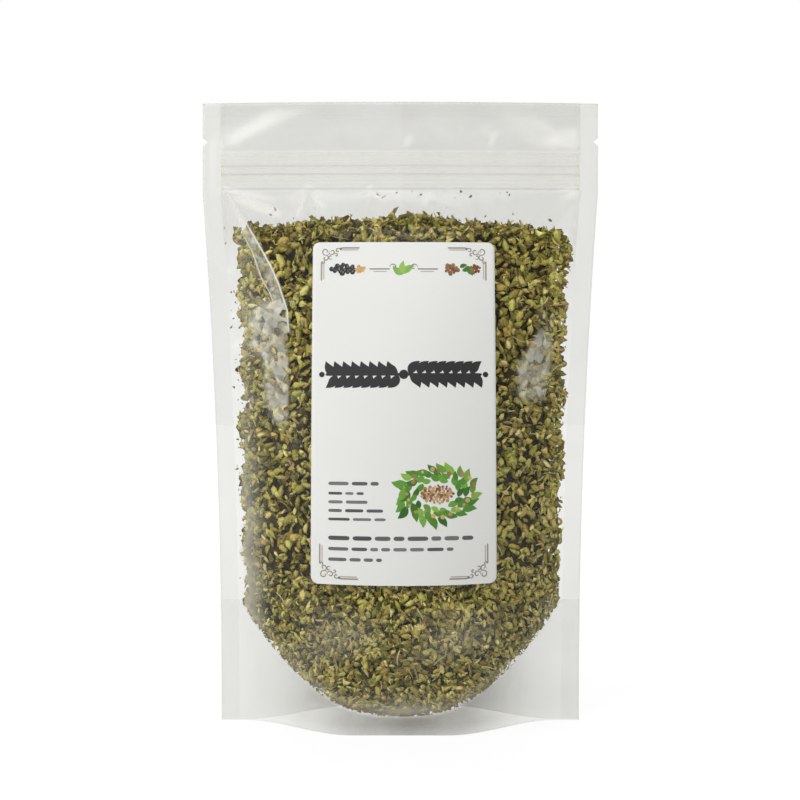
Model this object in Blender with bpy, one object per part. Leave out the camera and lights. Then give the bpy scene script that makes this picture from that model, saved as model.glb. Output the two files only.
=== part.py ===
"""A clear stand-up pouch, sealed and filled with rubbed dried leaves.

Two film panels are welded at the sides and the top. A folded gusset between them opens into the foot,
a press-to-close zip lies inside the mouth, and a paper label is stuck on the front. The pouch stands
on the rim of its panels. Units are metres, +Z is up and the front faces -Y. The origin is the middle
of the foot, on the surface that the pouch stands on.
"""

import math
import random

import bmesh
import bpy
import numpy as np

MM = 0.001

# Film and outline
HEIGHT = 202.6 * MM
TOP_HALF = 65 * MM
FOOT_HALF = 58.7 * MM
WIDE_FROM = 173 * MM
SIDE_SEAL = 6 * MM
TOP_SEAL_LOW = 198.3 * MM
FILM = 0.3 * MM
GAP = 0.35 * MM
PITCH = FILM + GAP
NOTCH_Z = 190 * MM
NOTCH_DEEP = 1.6 * MM
NOTCH_TALL = 1.3 * MM

# Belly: half the depth at the middle of the panels
BELLY = 25 * MM
BELLY_Z = 45 * MM
FOOT_LOSS = 1.5 * MM
BOW = 3 * MM
BOW_FROM = 150 * MM
BOW_RUN = 45 * MM
FOOT_FLAT = 51 * MM
FOOT_RUN = 36 * MM

# Gusset
FOLD_Z = 39.3 * MM
WELD_MID = 5.3 * MM
WELD_POWER = 2.3
RIDGE = 0.6
LAYER_RUN = 6 * MM

# Zip
ZIP_LOW = 174 * MM
ZIP_HIGH = 186.2 * MM
LOCK_Z = 179.7 * MM
LOCK_HALF = 0.8 * MM
MALE_HALF = 0.45 * MM
JAW = 0.8 * MM
ZIP_PUFF = LOCK_HALF + FILM / 2 + PITCH / 2
PUFF_FROM = 160 * MM
PUFF_RUN = 12 * MM
MOUTH_FROM = 187 * MM
MOUTH_RUN = 11 * MM
END_IN = 1 * MM
END_RUN = 5 * MM

# Label
LABEL_X = 1.1 * MM
LABEL_HALF = 29.5 * MM
LABEL_LOW = 47 * MM
LABEL_HIGH = 156.3 * MM
LABEL_CORNER = 2.3 * MM

# Fill of dried leaves
HEAP_TOP = 164 * MM
HEAP_FALL = 4 * MM
HEAP_HALF = 51 * MM
FILL_CLEAR = 0.9 * MM
FLOOR_CLEAR = 3.8 * MM
CORE_SINK = 2.2 * MM
CORE_ROUGH = 4.2 * MM
SEED = 7

# Leaf flakes and stems, larger than life
FLAKE_LONG = 16 * MM
FLAKE_WIDE = 11 * MM
FLAKE_THICK = 0.8 * MM
FLAKE_GROWTH = (0.8, 1.15)
FLAKE_FOLD = (1.0 * MM, 3.5 * MM)
FLAKE_TILT = (0.3, 0.46)
FLAKE_PITCH = 14.4 * MM
FLAKE_RISE = 13.6 * MM
LEAF_SHOULDER = (0.15, 0.5)
LEAF_HEEL = (-0.28, 0.42)
STEM_COUNT = 12
STEM_LONG = 18 * MM
STEM_THICK = 1.3 * MM
STEM_TILT = 0.2

# How many points or rows each surface has
PANEL_COLUMNS = 15
FOOT_ROWS = 8
MIDDLE_ROWS = 9
SHOULDER_ROWS = 5
SKIRT_ROWS = 5
DISH_ROWS = 9
ZIP_STATIONS = 9
LABEL_ROWS = 10
LABEL_COLUMNS = 9
CORNER_STEPS = 4
CORE_STATIONS = 15
WALL_STEPS = 16
CAP_STEPS = 4


def smooth(t):
    """An S-shaped step from 0 to 1 as t goes from 0 to 1."""
    t = np.clip(t, 0, 1)
    return t * t * (3 - 2 * t)


def half_width(z):
    """Half the width of a panel, less where the filled belly draws the edges in."""
    return FOOT_HALF + (TOP_HALF - FOOT_HALF) * np.minimum(z / WIDE_FROM, 1) ** 2


def seal_line(z):
    """The inner edge of the side seal."""
    return half_width(z) - SIDE_SEAL


def belly(z):
    """The greatest bulge at a height: nearly even in the foot, closing to nothing at the zip."""
    below = FOOT_LOSS * np.clip((BELLY_Z - z) / BELLY_Z, 0, 1) ** 2
    rise = np.clip((z - BELLY_Z) / (WIDE_FROM - BELLY_Z), 0, 1)
    return (BELLY - below) * (1 - rise**1.5) ** 0.8


def layer(z):
    """Half the stack in the side seal: two films above the gusset's fold, four below it."""
    return PITCH * (0.5 + smooth((FOLD_Z + LAYER_RUN - z) / LAYER_RUN))


def bulge(x, z):
    """How far a panel stands out from the flat seals: a dome, flatter at the foot, a flat step at the zip."""
    across = np.abs(x)
    dome = np.clip(1 - (across / seal_line(z)) ** 2, 0, 1)
    foot = smooth((FOOT_FLAT - across) / FOOT_RUN)
    plan = foot + (dome - foot) * smooth(z / BELLY_Z)
    zip_run = smooth((z - PUFF_FROM) / PUFF_RUN) * (1 - smooth((z - MOUTH_FROM) / MOUTH_RUN))
    zip_plan = smooth((half_width(z) - END_IN - across) / END_RUN)
    return belly(z) * plan + ZIP_PUFF * zip_run * zip_plan


def bow(x, z):
    """The mouth curves a little towards the front."""
    return BOW * (1 - (x / half_width(z)) ** 2) * smooth((z - BOW_FROM) / BOW_RUN)


def panel_y(x, z, side, out=0.0):
    """Y of a panel's middle surface, moved out by a distance. Side is -1 for the front, 1 for the back."""
    return side * (layer(z) + bulge(x, z) + out) - bow(x, z)


def weld_z(x, z):
    """The U-shaped line above which the gusset leaves the panels."""
    across = np.clip(np.abs(x) / seal_line(z), 0, 1)
    return WELD_MID + (FOLD_Z - WELD_MID) * across**WELD_POWER


def material(name, colour, roughness, alpha=1.0):
    """A Principled material of one colour."""
    made = bpy.data.materials.new(name)
    made.use_nodes = True
    shader = made.node_tree.nodes["Principled BSDF"]
    shader.inputs["Base Color"].default_value = (*colour, 1)
    shader.inputs["Roughness"].default_value = roughness
    shader.inputs["Metallic"].default_value = 0
    shader.inputs["Alpha"].default_value = alpha
    return made


def solid(name, points, faces, finish=None):
    """A linked object from points and faces, with its faces turned outwards."""
    mesh = bpy.data.meshes.new(name)
    mesh.from_pydata([tuple(p) for p in points], [], faces)
    work = bmesh.new()
    work.from_mesh(mesh)
    bmesh.ops.recalc_face_normals(work, faces=work.faces)
    bmesh.ops.triangulate(work, faces=work.faces)
    work.to_mesh(mesh)
    work.free()
    made = bpy.data.objects.new(name, mesh)
    bpy.context.scene.collection.objects.link(made)
    if finish:
        mesh.materials.append(finish)
    return made


def sheet(name, outer, inner, finish):
    """A closed thin solid between two grids of points of the same rows and columns."""
    rows, columns = outer.shape[:2]
    count = rows * columns
    faces = []
    for r in range(rows - 1):
        for c in range(columns - 1):
            at = r * columns + c
            quad = (at, at + 1, at + columns + 1, at + columns)
            faces.append(quad)
            faces.append(tuple(count + i for i in reversed(quad)))
    rim = [(0, c) for c in range(columns)]
    rim += [(r, columns - 1) for r in range(1, rows)]
    rim += [(rows - 1, c) for c in range(columns - 2, -1, -1)]
    rim += [(r, 0) for r in range(rows - 2, 0, -1)]
    edge = [r * columns + c for r, c in rim]
    for a, b in zip(edge, edge[1:] + edge[:1]):
        faces.append((a, count + a, count + b, b))
    points = np.concatenate([outer.reshape(-1, 3), inner.reshape(-1, 3)])
    return solid(name, points, faces, finish)


def loft(name, rings, finish=None):
    """A closed solid through rings of points of one count, with a flat face at each end."""
    count = len(rings[0])
    points = [point for ring in rings for point in ring]
    faces = [tuple(range(count)), tuple(range(len(points) - 1, len(points) - count - 1, -1))]
    for station in range(len(rings) - 1):
        for i in range(count):
            j = (i + 1) % count
            at = station * count
            faces.append((at + i, at + j, at + count + j, at + count + i))
    return solid(name, points, faces, finish)


def column_places():
    """Places across a panel: -1 to 1 between the seal lines, and one more step each way for the edges."""
    inside = np.linspace(-1, 1, PANEL_COLUMNS)
    return np.concatenate([[-2], inside, [2]])


def column_x(place, z, notched=False):
    """X of each place at each height. The tear notches pull in the outer edge alone."""
    edge = half_width(z)
    if notched:
        edge = edge - NOTCH_DEEP * np.clip(1 - np.abs(z - NOTCH_Z) / NOTCH_TALL, 0, 1)
    inside = place * seal_line(z)
    return np.where(np.abs(place) > 1, np.sign(place) * edge, inside)


def panel_rows():
    """Heights of a panel's rows, closer together where it curves."""
    foot = np.linspace(0, FOLD_Z + LAYER_RUN, FOOT_ROWS)
    middle = np.linspace(foot[-1], BOW_FROM, MIDDLE_ROWS)[1:]
    shoulder = np.linspace(BOW_FROM, ZIP_LOW, SHOULDER_ROWS)[1:]
    notch = NOTCH_Z + NOTCH_TALL * np.array([-1, 0, 1])
    return np.concatenate([foot, middle, shoulder, [ZIP_HIGH], notch, [TOP_SEAL_LOW, HEIGHT]])


def panel(name, side, finish):
    """The front or the back film, one sheet from the foot's rim to the top seal."""
    place, z = np.meshgrid(column_places(), panel_rows())
    x = column_x(place, z, notched=True)
    outer = np.stack([x, panel_y(x, z, side, FILM / 2), z], axis=-1)
    inner = np.stack([x, panel_y(x, z, side, -FILM / 2), z], axis=-1)
    return sheet(name, outer, inner, finish)


def gusset_surface(out):
    """One face of the gusset: up the front weld, over a soft ridge and down the back weld."""
    skirt = np.linspace(0, 1, SKIRT_ROWS)
    across = np.linspace(-1, 1, DISH_ROWS)[1:-1]
    columns = []
    for place in column_places():
        x_fold = column_x(np.array(place), np.array(FOLD_Z))
        top = weld_z(x_fold, FOLD_Z)
        z_skirt = skirt * (top + out)
        x_skirt = column_x(np.full_like(skirt, place), z_skirt)
        reach = layer(z_skirt) + bulge(x_skirt, z_skirt) - PITCH + out
        x_top = column_x(np.array(place), np.array(top))
        ridge = RIDGE * bulge(x_top, top) * (0.5 + 0.5 * np.cos(math.pi * across))
        z_dish = top + out + ridge
        y_dish = across * reach[-1]
        x_dish = np.full_like(y_dish, x_top)
        front = np.stack([x_skirt, -reach, z_skirt], axis=-1)
        dish = np.stack([x_dish, y_dish, z_dish], axis=-1)
        back = np.stack([x_skirt, reach, z_skirt], axis=-1)[::-1]
        columns.append(np.concatenate([front, dish, back]))
    return np.stack(columns, axis=1)


def gusset_top(x, y):
    """Height of the gusset's dish under a point, for the fill that lies on it."""
    low = weld_z(x, FOLD_Z)
    reach = layer(low) + bulge(x, low) - PITCH
    across = np.clip(y / np.maximum(reach, FILM), -1, 1)
    return low + RIDGE * bulge(x, low) * (0.5 + 0.5 * np.cos(math.pi * across))


def zip_strip(name, profile, finish):
    """A strip of one cross-section, run between the side seals along the curve of the mouth."""
    stations = np.linspace(-1, 1, ZIP_STATIONS) * seal_line(LOCK_Z)
    rings = [[(x, y - bow(x, z), z) for y, z in profile] for x in stations]
    return loft(name, rings, finish)


def female_profile():
    """The front strip: a flat band with two jaws that point back."""
    back = -LOCK_HALF
    front = -LOCK_HALF - FILM
    tip = LOCK_HALF - GAP
    inner = MALE_HALF + GAP
    outer = inner + JAW
    return [
        (front, ZIP_LOW), (back, ZIP_LOW),
        (back, LOCK_Z - outer), (tip, LOCK_Z - outer), (tip, LOCK_Z - inner), (back, LOCK_Z - inner),
        (back, LOCK_Z + inner), (tip, LOCK_Z + inner), (tip, LOCK_Z + outer), (back, LOCK_Z + outer),
        (back, ZIP_HIGH), (front, ZIP_HIGH),
    ]


def male_profile():
    """The back strip: a flat band with one rib that points forward between the jaws."""
    front = LOCK_HALF
    back = LOCK_HALF + FILM
    tip = -LOCK_HALF + GAP
    return [
        (back, ZIP_LOW), (front, ZIP_LOW),
        (front, LOCK_Z - MALE_HALF), (tip, LOCK_Z - MALE_HALF),
        (tip, LOCK_Z + MALE_HALF), (front, LOCK_Z + MALE_HALF),
        (front, ZIP_HIGH), (back, ZIP_HIGH),
    ]


def label(name, finish):
    """The paper label: a sheet with rounded corners that follows the front panel."""
    turn = np.radians(np.linspace(0, 90, CORNER_STEPS))
    low = LABEL_LOW + LABEL_CORNER * (1 - np.cos(turn))
    high = LABEL_HIGH - LABEL_CORNER * (1 - np.cos(turn))
    middle = np.linspace(low[-1], high[-1], LABEL_ROWS)[1:-1]
    z = np.concatenate([low, middle, high[::-1]])
    end = np.minimum(z - LABEL_LOW, LABEL_HIGH - z)
    drop = np.clip(1 - end / LABEL_CORNER, 0, 1)
    half = LABEL_HALF - LABEL_CORNER * (1 - np.sqrt(1 - drop**2))
    across, z = np.meshgrid(np.linspace(-1, 1, LABEL_COLUMNS), z)
    x = LABEL_X + across * half[:, None]
    outer = np.stack([x, panel_y(x, z, -1, PITCH + FILM / 2), z], axis=-1)
    inner = np.stack([x, panel_y(x, z, -1, PITCH - FILM / 2), z], axis=-1)
    return sheet(name, outer, inner, finish)


def heap_z(x):
    """Height of the heap's top, which falls a little towards the sides."""
    return HEAP_TOP - HEAP_FALL * (x / HEAP_HALF) ** 2


def heap_reach(x, z):
    """How far the heap may reach from the middle plane towards a panel."""
    return layer(z) + bulge(x, z) - FILM / 2 - FILL_CLEAR


def core_wall(x, low, high, side, draw):
    """Points up one side of the core at x, each sunk by a chance depth below the heap's face."""
    wall = []
    for z in np.linspace(low, high, WALL_STEPS):
        reach = float(heap_reach(x, z))
        sink = min(CORE_SINK + draw.random() * CORE_ROUGH, reach / 2)
        wall.append((x, side * (reach - sink) - float(bow(x, z)), z))
    return wall


def cap_places(start, end):
    """Evenly spaced places between the two walls."""
    return np.linspace(start, end, CAP_STEPS + 2)[1:-1]


def core(draw):
    """The packed middle of the heap, lofted from side to side, with rough walls that flakes stand on."""
    rings = []
    for x in np.linspace(-1, 1, CORE_STATIONS) * HEAP_HALF:
        low = float(weld_z(x, FOLD_Z)) + FLOOR_CLEAR
        high = float(heap_z(x)) - CORE_SINK / 2
        front = core_wall(x, low, high, -1, draw)
        back = core_wall(x, low, high, 1, draw)
        top = [(x, y, high - draw.random() * CORE_ROUGH) for y in cap_places(front[-1][1], back[-1][1])]
        foot = [(x, y, float(gusset_top(x, y)) + FLOOR_CLEAR) for y in cap_places(back[0][1], front[0][1])]
        rings.append(front + top + back[::-1] + foot)
    return loft("marjoram_fill", rings)


def leaf_points(long, wide, fold, thick):
    """A pointed leaf flake folded along its rib: six outline points above, the same six below."""
    shoulder = np.array(LEAF_SHOULDER)
    heel = np.array(LEAF_HEEL)
    mirror = np.array([1, -1])
    outline = np.array([(0.5, 0), shoulder, heel, (-0.5, 0), heel * mirror, shoulder * mirror])
    x = outline[:, 0] * long
    y = outline[:, 1] * wide
    z = -np.abs(outline[:, 1]) * fold
    top = np.stack([x, y, z + thick / 2], axis=-1)
    return np.concatenate([top, top - (0, 0, thick)])


LEAF_FACES = [
    (0, 1, 2), (0, 2, 3), (0, 3, 4), (0, 4, 5),
    (6, 8, 7), (6, 9, 8), (6, 10, 9), (6, 11, 10),
    *[(i, i + 6, (i + 1) % 6 + 6, (i + 1) % 6) for i in range(6)],
]


def frame_at(normal, spin, tilt):
    """A turn whose third axis is the surface normal, spun about it and tipped along its own length."""
    normal = normal / np.linalg.norm(normal)
    helper = np.array([0, 0, 1.0]) if abs(normal[2]) < 0.9 else np.array([1.0, 0, 0])
    first = np.cross(helper, normal)
    first /= np.linalg.norm(first)
    second = np.cross(normal, first)
    along = math.cos(spin) * first + math.sin(spin) * second
    aside = np.cross(normal, along)
    length = math.cos(tilt) * along + math.sin(tilt) * normal
    return np.stack([length, aside, np.cross(length, aside)], axis=0)


def held_in(points):
    """The points moved as one until all of them are inside the panels and above the gusset."""
    for _ in range(3):
        reach = heap_reach(points[:, 0], points[:, 2])
        middle = -bow(points[:, 0], points[:, 2])
        over = points[:, 1] - middle - reach
        under = middle - reach - points[:, 1]
        points[:, 1] += max(under.max(), 0) - max(over.max(), 0)
        floor = gusset_top(points[:, 0], points[:, 1]) + FLOOR_CLEAR
        points[:, 2] += max((floor - points[:, 2]).max(), 0)
    reach = heap_reach(points[:, 0], points[:, 2]) + FILL_CLEAR / 4
    middle = -bow(points[:, 0], points[:, 2])
    floor = gusset_top(points[:, 0], points[:, 1]) + FLOOR_CLEAR * 0.8
    fits = (np.abs(points[:, 1] - middle) <= reach).all() and (points[:, 2] >= floor).all()
    return points if fits else None


def side_normal(x, z, side):
    """Which way a panel faces at a point."""
    step = 0.5 * MM
    dx = (heap_reach(x + step, z) - heap_reach(x - step, z)) / (2 * step)
    dz = (heap_reach(x, z + step) - heap_reach(x, z - step)) / (2 * step)
    return np.array([-float(dx), side, -float(dz)])


def flake_spots(draw):
    """Where flakes sit and which way they face: offset rows over both sides and over the top."""
    rows = int(HEAP_TOP / FLAKE_RISE) + 1
    out = int(HEAP_HALF / FLAKE_PITCH) + 1
    spots = []
    for side in (-1, 1):
        for row in range(rows):
            for column in range(-out, out + 1):
                x = (column + 0.5 * (row % 2) + draw.uniform(-0.2, 0.2)) * FLAKE_PITCH
                z = (row + 0.5 + draw.uniform(-0.25, 0.25)) * FLAKE_RISE
                if abs(x) > HEAP_HALF + MM or z < weld_z(x, FOLD_Z) + 3 * MM or z > heap_z(x) - 2 * MM:
                    continue
                y = side * heap_reach(x, z) - bow(x, z)
                spots.append((np.array([x, float(y), z]), side_normal(x, z, side)))
    for column in range(-out, out + 1):
        for across in (-0.5, 0.1, 0.6):
            x = (column + draw.uniform(-0.3, 0.3)) * FLAKE_PITCH
            z = float(heap_z(x))
            y = (across + draw.uniform(-0.2, 0.2)) * float(heap_reach(x, z)) - float(bow(x, z))
            spots.append((np.array([x, y, z]), np.array([0, 0, 1.0])))
    return spots


def flakes(draw):
    """The points of every flake and stem, each with one end sunk in the core."""
    made = []
    for centre, normal in flake_spots(draw):
        narrow = min(1.0, float(bulge(centre[0], centre[2])) / BELLY * 3)
        grown = draw.uniform(*FLAKE_GROWTH) * max(narrow, 0.6)
        tilt = draw.uniform(*FLAKE_TILT) * narrow
        turn = frame_at(normal, draw.uniform(0, 2 * math.pi), tilt)
        fold = draw.uniform(*FLAKE_FOLD) * narrow
        local = leaf_points(FLAKE_LONG * grown, FLAKE_WIDE * grown, fold, FLAKE_THICK)
        placed = held_in(local @ turn + centre)
        if placed is not None:
            made.append(placed)
    return made


def stems(draw):
    """The points of a few broken stems that lie askew on the top and the sides."""
    made = []
    square = np.array([(1, 0), (0, 1), (-1, 0), (0, -1)]) * STEM_THICK / 2
    for _ in range(STEM_COUNT):
        x = draw.uniform(-0.8, 0.8) * HEAP_HALF
        side = draw.choice((-1, 1))
        z = draw.uniform(0.35, 0.95) * HEAP_TOP
        centre = np.array([x, float(side * heap_reach(x, z) - bow(x, z)), z])
        turn = frame_at(side_normal(x, z, side), draw.uniform(0, 2 * math.pi), STEM_TILT)
        ends = [np.column_stack([np.full(4, s * STEM_LONG / 2), square]) for s in (-1, 1)]
        placed = held_in(np.concatenate(ends) @ turn + centre)
        if placed is not None:
            made.append(placed)
    return made


STEM_FACES = [(3, 2, 1, 0), (4, 5, 6, 7), *[(i, (i + 1) % 4, (i + 1) % 4 + 4, i + 4) for i in range(4)]]


def largest_piece(mesh):
    """Keeps only the largest joined body of a mesh."""
    work = bmesh.new()
    work.from_mesh(mesh)
    waiting = set(work.verts)
    pieces = []
    while waiting:
        seed = waiting.pop()
        piece = {seed}
        edge = [seed]
        while edge:
            for link in edge.pop().link_edges:
                for vert in link.verts:
                    if vert in waiting:
                        waiting.discard(vert)
                        piece.add(vert)
                        edge.append(vert)
        pieces.append(piece)
    pieces.sort(key=len)
    scraps = [vert for piece in pieces[:-1] for vert in piece]
    bmesh.ops.delete(work, geom=scraps, context="VERTS")
    bmesh.ops.triangulate(work, faces=work.faces)
    work.to_mesh(mesh)
    work.free()


def fill(finish):
    """The whole heap as one body: the core with its flakes and stems joined on by one union."""
    draw = random.Random(SEED)
    heap = core(draw)
    group = bpy.data.collections.new("repeats")
    bpy.context.scene.collection.children.link(group)
    shapes = [(points, LEAF_FACES) for points in flakes(draw)]
    shapes += [(points, STEM_FACES) for points in stems(draw)]
    for number, (points, faces) in enumerate(shapes):
        piece = solid(f"repeat_{number}", points, faces)
        bpy.context.scene.collection.objects.unlink(piece)
        group.objects.link(piece)
    union = heap.modifiers.new("union", "BOOLEAN")
    union.operation = "UNION"
    union.operand_type = "COLLECTION"
    union.collection = group
    union.solver = "MANIFOLD"
    graph = bpy.context.evaluated_depsgraph_get()
    joined = bpy.data.meshes.new_from_object(heap.evaluated_get(graph))
    heap.modifiers.clear()
    for piece in list(group.objects):
        bpy.data.objects.remove(piece)
    bpy.data.collections.remove(group)
    largest_piece(joined)
    heap.data = joined
    joined.materials.clear()
    joined.materials.append(finish)
    return heap


def main():
    """Clears the scene and builds every piece."""
    for old in list(bpy.data.objects):
        bpy.data.objects.remove(old)
    film = material("clear_film", (0.86, 0.86, 0.84), 0.12, alpha=0.25)
    zip_film = material("zip_film", (0.9, 0.9, 0.88), 0.2, alpha=0.45)
    paper = material("label_paper", (0.8, 0.8, 0.77), 0.6)
    herb = material("dried_leaf", (0.2, 0.18, 0.055), 0.85)
    panel("front_film", -1, film)
    panel("back_film", 1, film)
    sheet("bottom_gusset", gusset_surface(FILM / 2), gusset_surface(-FILM / 2), film)
    zip_strip("zip_strip_front", female_profile(), zip_film)
    zip_strip("zip_strip_back", male_profile(), zip_film)
    label("front_label", paper)
    fill(herb)


main()
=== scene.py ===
"""The looks of a clear stand-up pouch of rubbed dried leaves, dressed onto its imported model.

The films, the zip, the label and thousands of leaf flakes are surfaces worked out with numpy. They all
follow one set of formulas for the filled pouch, PouchForm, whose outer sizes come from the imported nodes.
Units are metres, +Z is up and the front faces -Y.
"""

import logging
import math
from dataclasses import dataclass
from enum import Enum
from typing import Sequence

import bpy
import numpy as np
from numpy.typing import NDArray
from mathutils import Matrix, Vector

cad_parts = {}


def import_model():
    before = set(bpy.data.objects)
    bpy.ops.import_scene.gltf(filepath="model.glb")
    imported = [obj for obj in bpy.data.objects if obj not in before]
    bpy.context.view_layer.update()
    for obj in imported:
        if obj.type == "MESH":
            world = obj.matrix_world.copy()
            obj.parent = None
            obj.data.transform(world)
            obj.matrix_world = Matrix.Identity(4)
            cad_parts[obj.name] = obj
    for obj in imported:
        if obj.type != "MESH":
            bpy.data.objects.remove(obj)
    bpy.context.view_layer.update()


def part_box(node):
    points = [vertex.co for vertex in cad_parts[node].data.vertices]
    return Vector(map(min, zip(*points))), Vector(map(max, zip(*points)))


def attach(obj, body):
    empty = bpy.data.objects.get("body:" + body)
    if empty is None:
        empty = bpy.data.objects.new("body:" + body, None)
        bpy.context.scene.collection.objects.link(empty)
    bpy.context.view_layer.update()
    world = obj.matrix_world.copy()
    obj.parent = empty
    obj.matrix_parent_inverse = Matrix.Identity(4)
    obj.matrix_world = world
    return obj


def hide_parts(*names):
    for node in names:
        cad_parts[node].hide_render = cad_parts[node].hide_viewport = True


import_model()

Array = NDArray[np.float64]
Faces = NDArray[np.int64]
Colour = tuple[float, float, float]
Stops = Sequence[tuple[float, Colour]]
Draw = np.random.Generator
Piece = bpy.types.Object
Material = bpy.types.Material
Socket = bpy.types.NodeSocket
MM = 0.001
BODY = "root"

log = logging.getLogger("pouch")


class Side(Enum):
    """Which panel of the pouch, by the sign of its Y."""

    FRONT = -1
    BACK = 1


class Slot(Enum):
    """The record's material slots."""

    FILM = "clear_film"
    ZIP = "zip_film"
    PAPER = "label_paper"
    LEAF = "dried_leaf"


def smooth(t: Array) -> Array:
    """An S-shaped step: 3 t squared less 2 t cubed, with t held between 0 and 1."""
    t = np.clip(t, 0, 1)
    return t * t * (3 - 2 * t)


def unit(v: Array) -> Array:
    """Vectors scaled to length 1 along their last axis."""
    return v / np.linalg.norm(v, axis=-1, keepdims=True)


def past(place: Array, start: float, run: float) -> Array:
    """A smooth step up: 0 as far as start, and 1 from a run beyond it, both in millimetres."""
    return smooth((place - start * MM) / (run * MM))


def before(place: Array, end: float, run: float) -> Array:
    """A smooth step down: 1 up to a run short of the end, and 0 past the end, both in millimetres."""
    return smooth((end * MM - place) / (run * MM))


def bell(distance: Array, wide: float) -> Array:
    """A bell curve: e to the power of less the square of the distance over the width."""
    return np.exp(-((distance / wide) ** 2))


def stacked(x: Array, y: Array, z: Array) -> Array:
    """Points from their three coordinates."""
    return np.stack([x, y, z], axis=-1)


def waves(x: Array, z: Array, count: int, angles: tuple[float, float], lengths: tuple[float, float],
          draw: Draw) -> Array:
    """The mean of some sine waves, whose directions, lengths and phases are drawn from a seeded source.

    Args:
        x, z: places across and heights.
        count: how many waves.
        angles: the range of their directions, in radians.
        lengths: the range of their lengths, in millimetres.
        draw: the seeded source.

    Returns:
        The level at each place, from -1 to 1.
    """
    total = np.zeros_like(x)
    for _ in range(count):
        angle, long = draw.uniform(*angles), draw.uniform(*lengths) * MM
        phase = draw.uniform(0, 2 * math.pi)
        total += np.sin(2 * math.pi * (x * math.cos(angle) + z * math.sin(angle)) / long + phase) / count
    return total


@dataclass(frozen=True)
class Fold:
    """One soft fold in a panel, a ridge along a line that fades at both ends.

    It runs from (x0, z0) to (x1, z1), stands out by rise, and is width wide at its start and spread wide
    at its end.
    """

    x0: float
    z0: float
    x1: float
    z1: float
    rise: float
    width: float
    spread: float

    def height(self, x: Array, z: Array) -> Array:
        """How far the fold stands out: a bell across its line times a rounded rise and fall along it.

        Args:
            x, z: places across and heights.

        Returns:
            The outward distance at each place.
        """
        dx, dz = self.x1 - self.x0, self.z1 - self.z0
        long = math.hypot(dx, dz)
        along = ((x - self.x0) * dx + (z - self.z0) * dz) / long**2
        across = ((x - self.x0) * dz - (z - self.z0) * dx) / long
        wide = self.width + (self.spread - self.width) * np.clip(along, 0, 1)
        ends = smooth((along + 0.10) / 0.16) * smooth((1.1 - along) / 0.7)
        return self.rise * ends * np.exp(-(np.abs(across / wide) ** 1.5))

    def crease(self, x: Array, z: Array) -> Array:
        """How near a place is to the fold's crest, from 0 to 1."""
        return self.height(x, z) / self.rise


FRONT_FOLDS = (
    Fold(-0.0590, 0.1738, -0.0490, 0.1600, 0.0013, 0.0009, 0.0036),
    Fold(-0.0585, 0.1738, -0.0350, 0.1665, 0.0010, 0.0009, 0.0034),
    Fold(-0.0305, 0.1745, -0.0350, 0.1630, 0.0011, 0.0009, 0.0040),
    Fold(-0.0300, 0.1745, -0.0210, 0.1650, 0.0010, 0.0009, 0.0036),
    Fold(-0.0100, 0.1745, -0.0125, 0.1660, 0.0009, 0.0009, 0.0032),
    Fold(-0.0096, 0.1745, -0.0050, 0.1670, 0.0008, 0.0009, 0.0028),
    Fold(0.0100, 0.1745, 0.0125, 0.1660, 0.0008, 0.0009, 0.0032),
    Fold(0.0300, 0.1742, 0.0335, 0.1650, 0.0007, 0.0009, 0.0032),
    Fold(0.0590, 0.1742, 0.0490, 0.1715, 0.0010, 0.0007, 0.0018),
    Fold(0.0590, 0.1735, 0.0490, 0.1590, 0.0009, 0.0008, 0.0030),
    Fold(-0.0535, 0.1660, -0.0375, 0.1280, 0.0009, 0.0014, 0.0022),
    Fold(-0.0430, 0.1370, -0.0405, 0.0980, 0.0010, 0.0050, 0.0036),
    Fold(0.0440, 0.1330, 0.0420, 0.1000, 0.0007, 0.0046, 0.0040),
    Fold(-0.0480, 0.0300, -0.0200, 0.0120, 0.0005, 0.0012, 0.0030),
    Fold(0.0500, 0.0340, 0.0240, 0.0150, 0.0005, 0.0012, 0.0030),
    Fold(-0.0580, 0.1870, -0.0310, 0.2000, 0.0010, 0.0034, 0.0062),
    Fold(0.0580, 0.1880, 0.0430, 0.1965, 0.0011, 0.0018, 0.0034),
    Fold(0.0285, 0.1865, 0.0300, 0.1965, 0.0006, 0.0012, 0.0024),
    Fold(0.0040, 0.1865, 0.0060, 0.1975, 0.0005, 0.0012, 0.0020),
)
BACK_FOLDS = (
    Fold(0.0590, 0.1738, 0.0450, 0.1550, 0.0012, 0.0008, 0.0034),
    Fold(0.0240, 0.1742, 0.0270, 0.1640, 0.0009, 0.0008, 0.0034),
    Fold(-0.0040, 0.1742, -0.0010, 0.1650, 0.0008, 0.0008, 0.0030),
    Fold(-0.0330, 0.1742, -0.0290, 0.1640, 0.0008, 0.0008, 0.0034),
    Fold(-0.0590, 0.1738, -0.0450, 0.1600, 0.0011, 0.0008, 0.0030),
    Fold(0.0500, 0.1500, 0.0360, 0.1080, 0.0008, 0.0012, 0.0026),
    Fold(-0.0460, 0.1380, -0.0400, 0.1000, 0.0007, 0.0020, 0.0040),
    Fold(-0.0450, 0.0320, -0.0230, 0.0140, 0.0005, 0.0012, 0.0030),
    Fold(0.0560, 0.1880, 0.0360, 0.1980, 0.0007, 0.0018, 0.0036),
)


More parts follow.
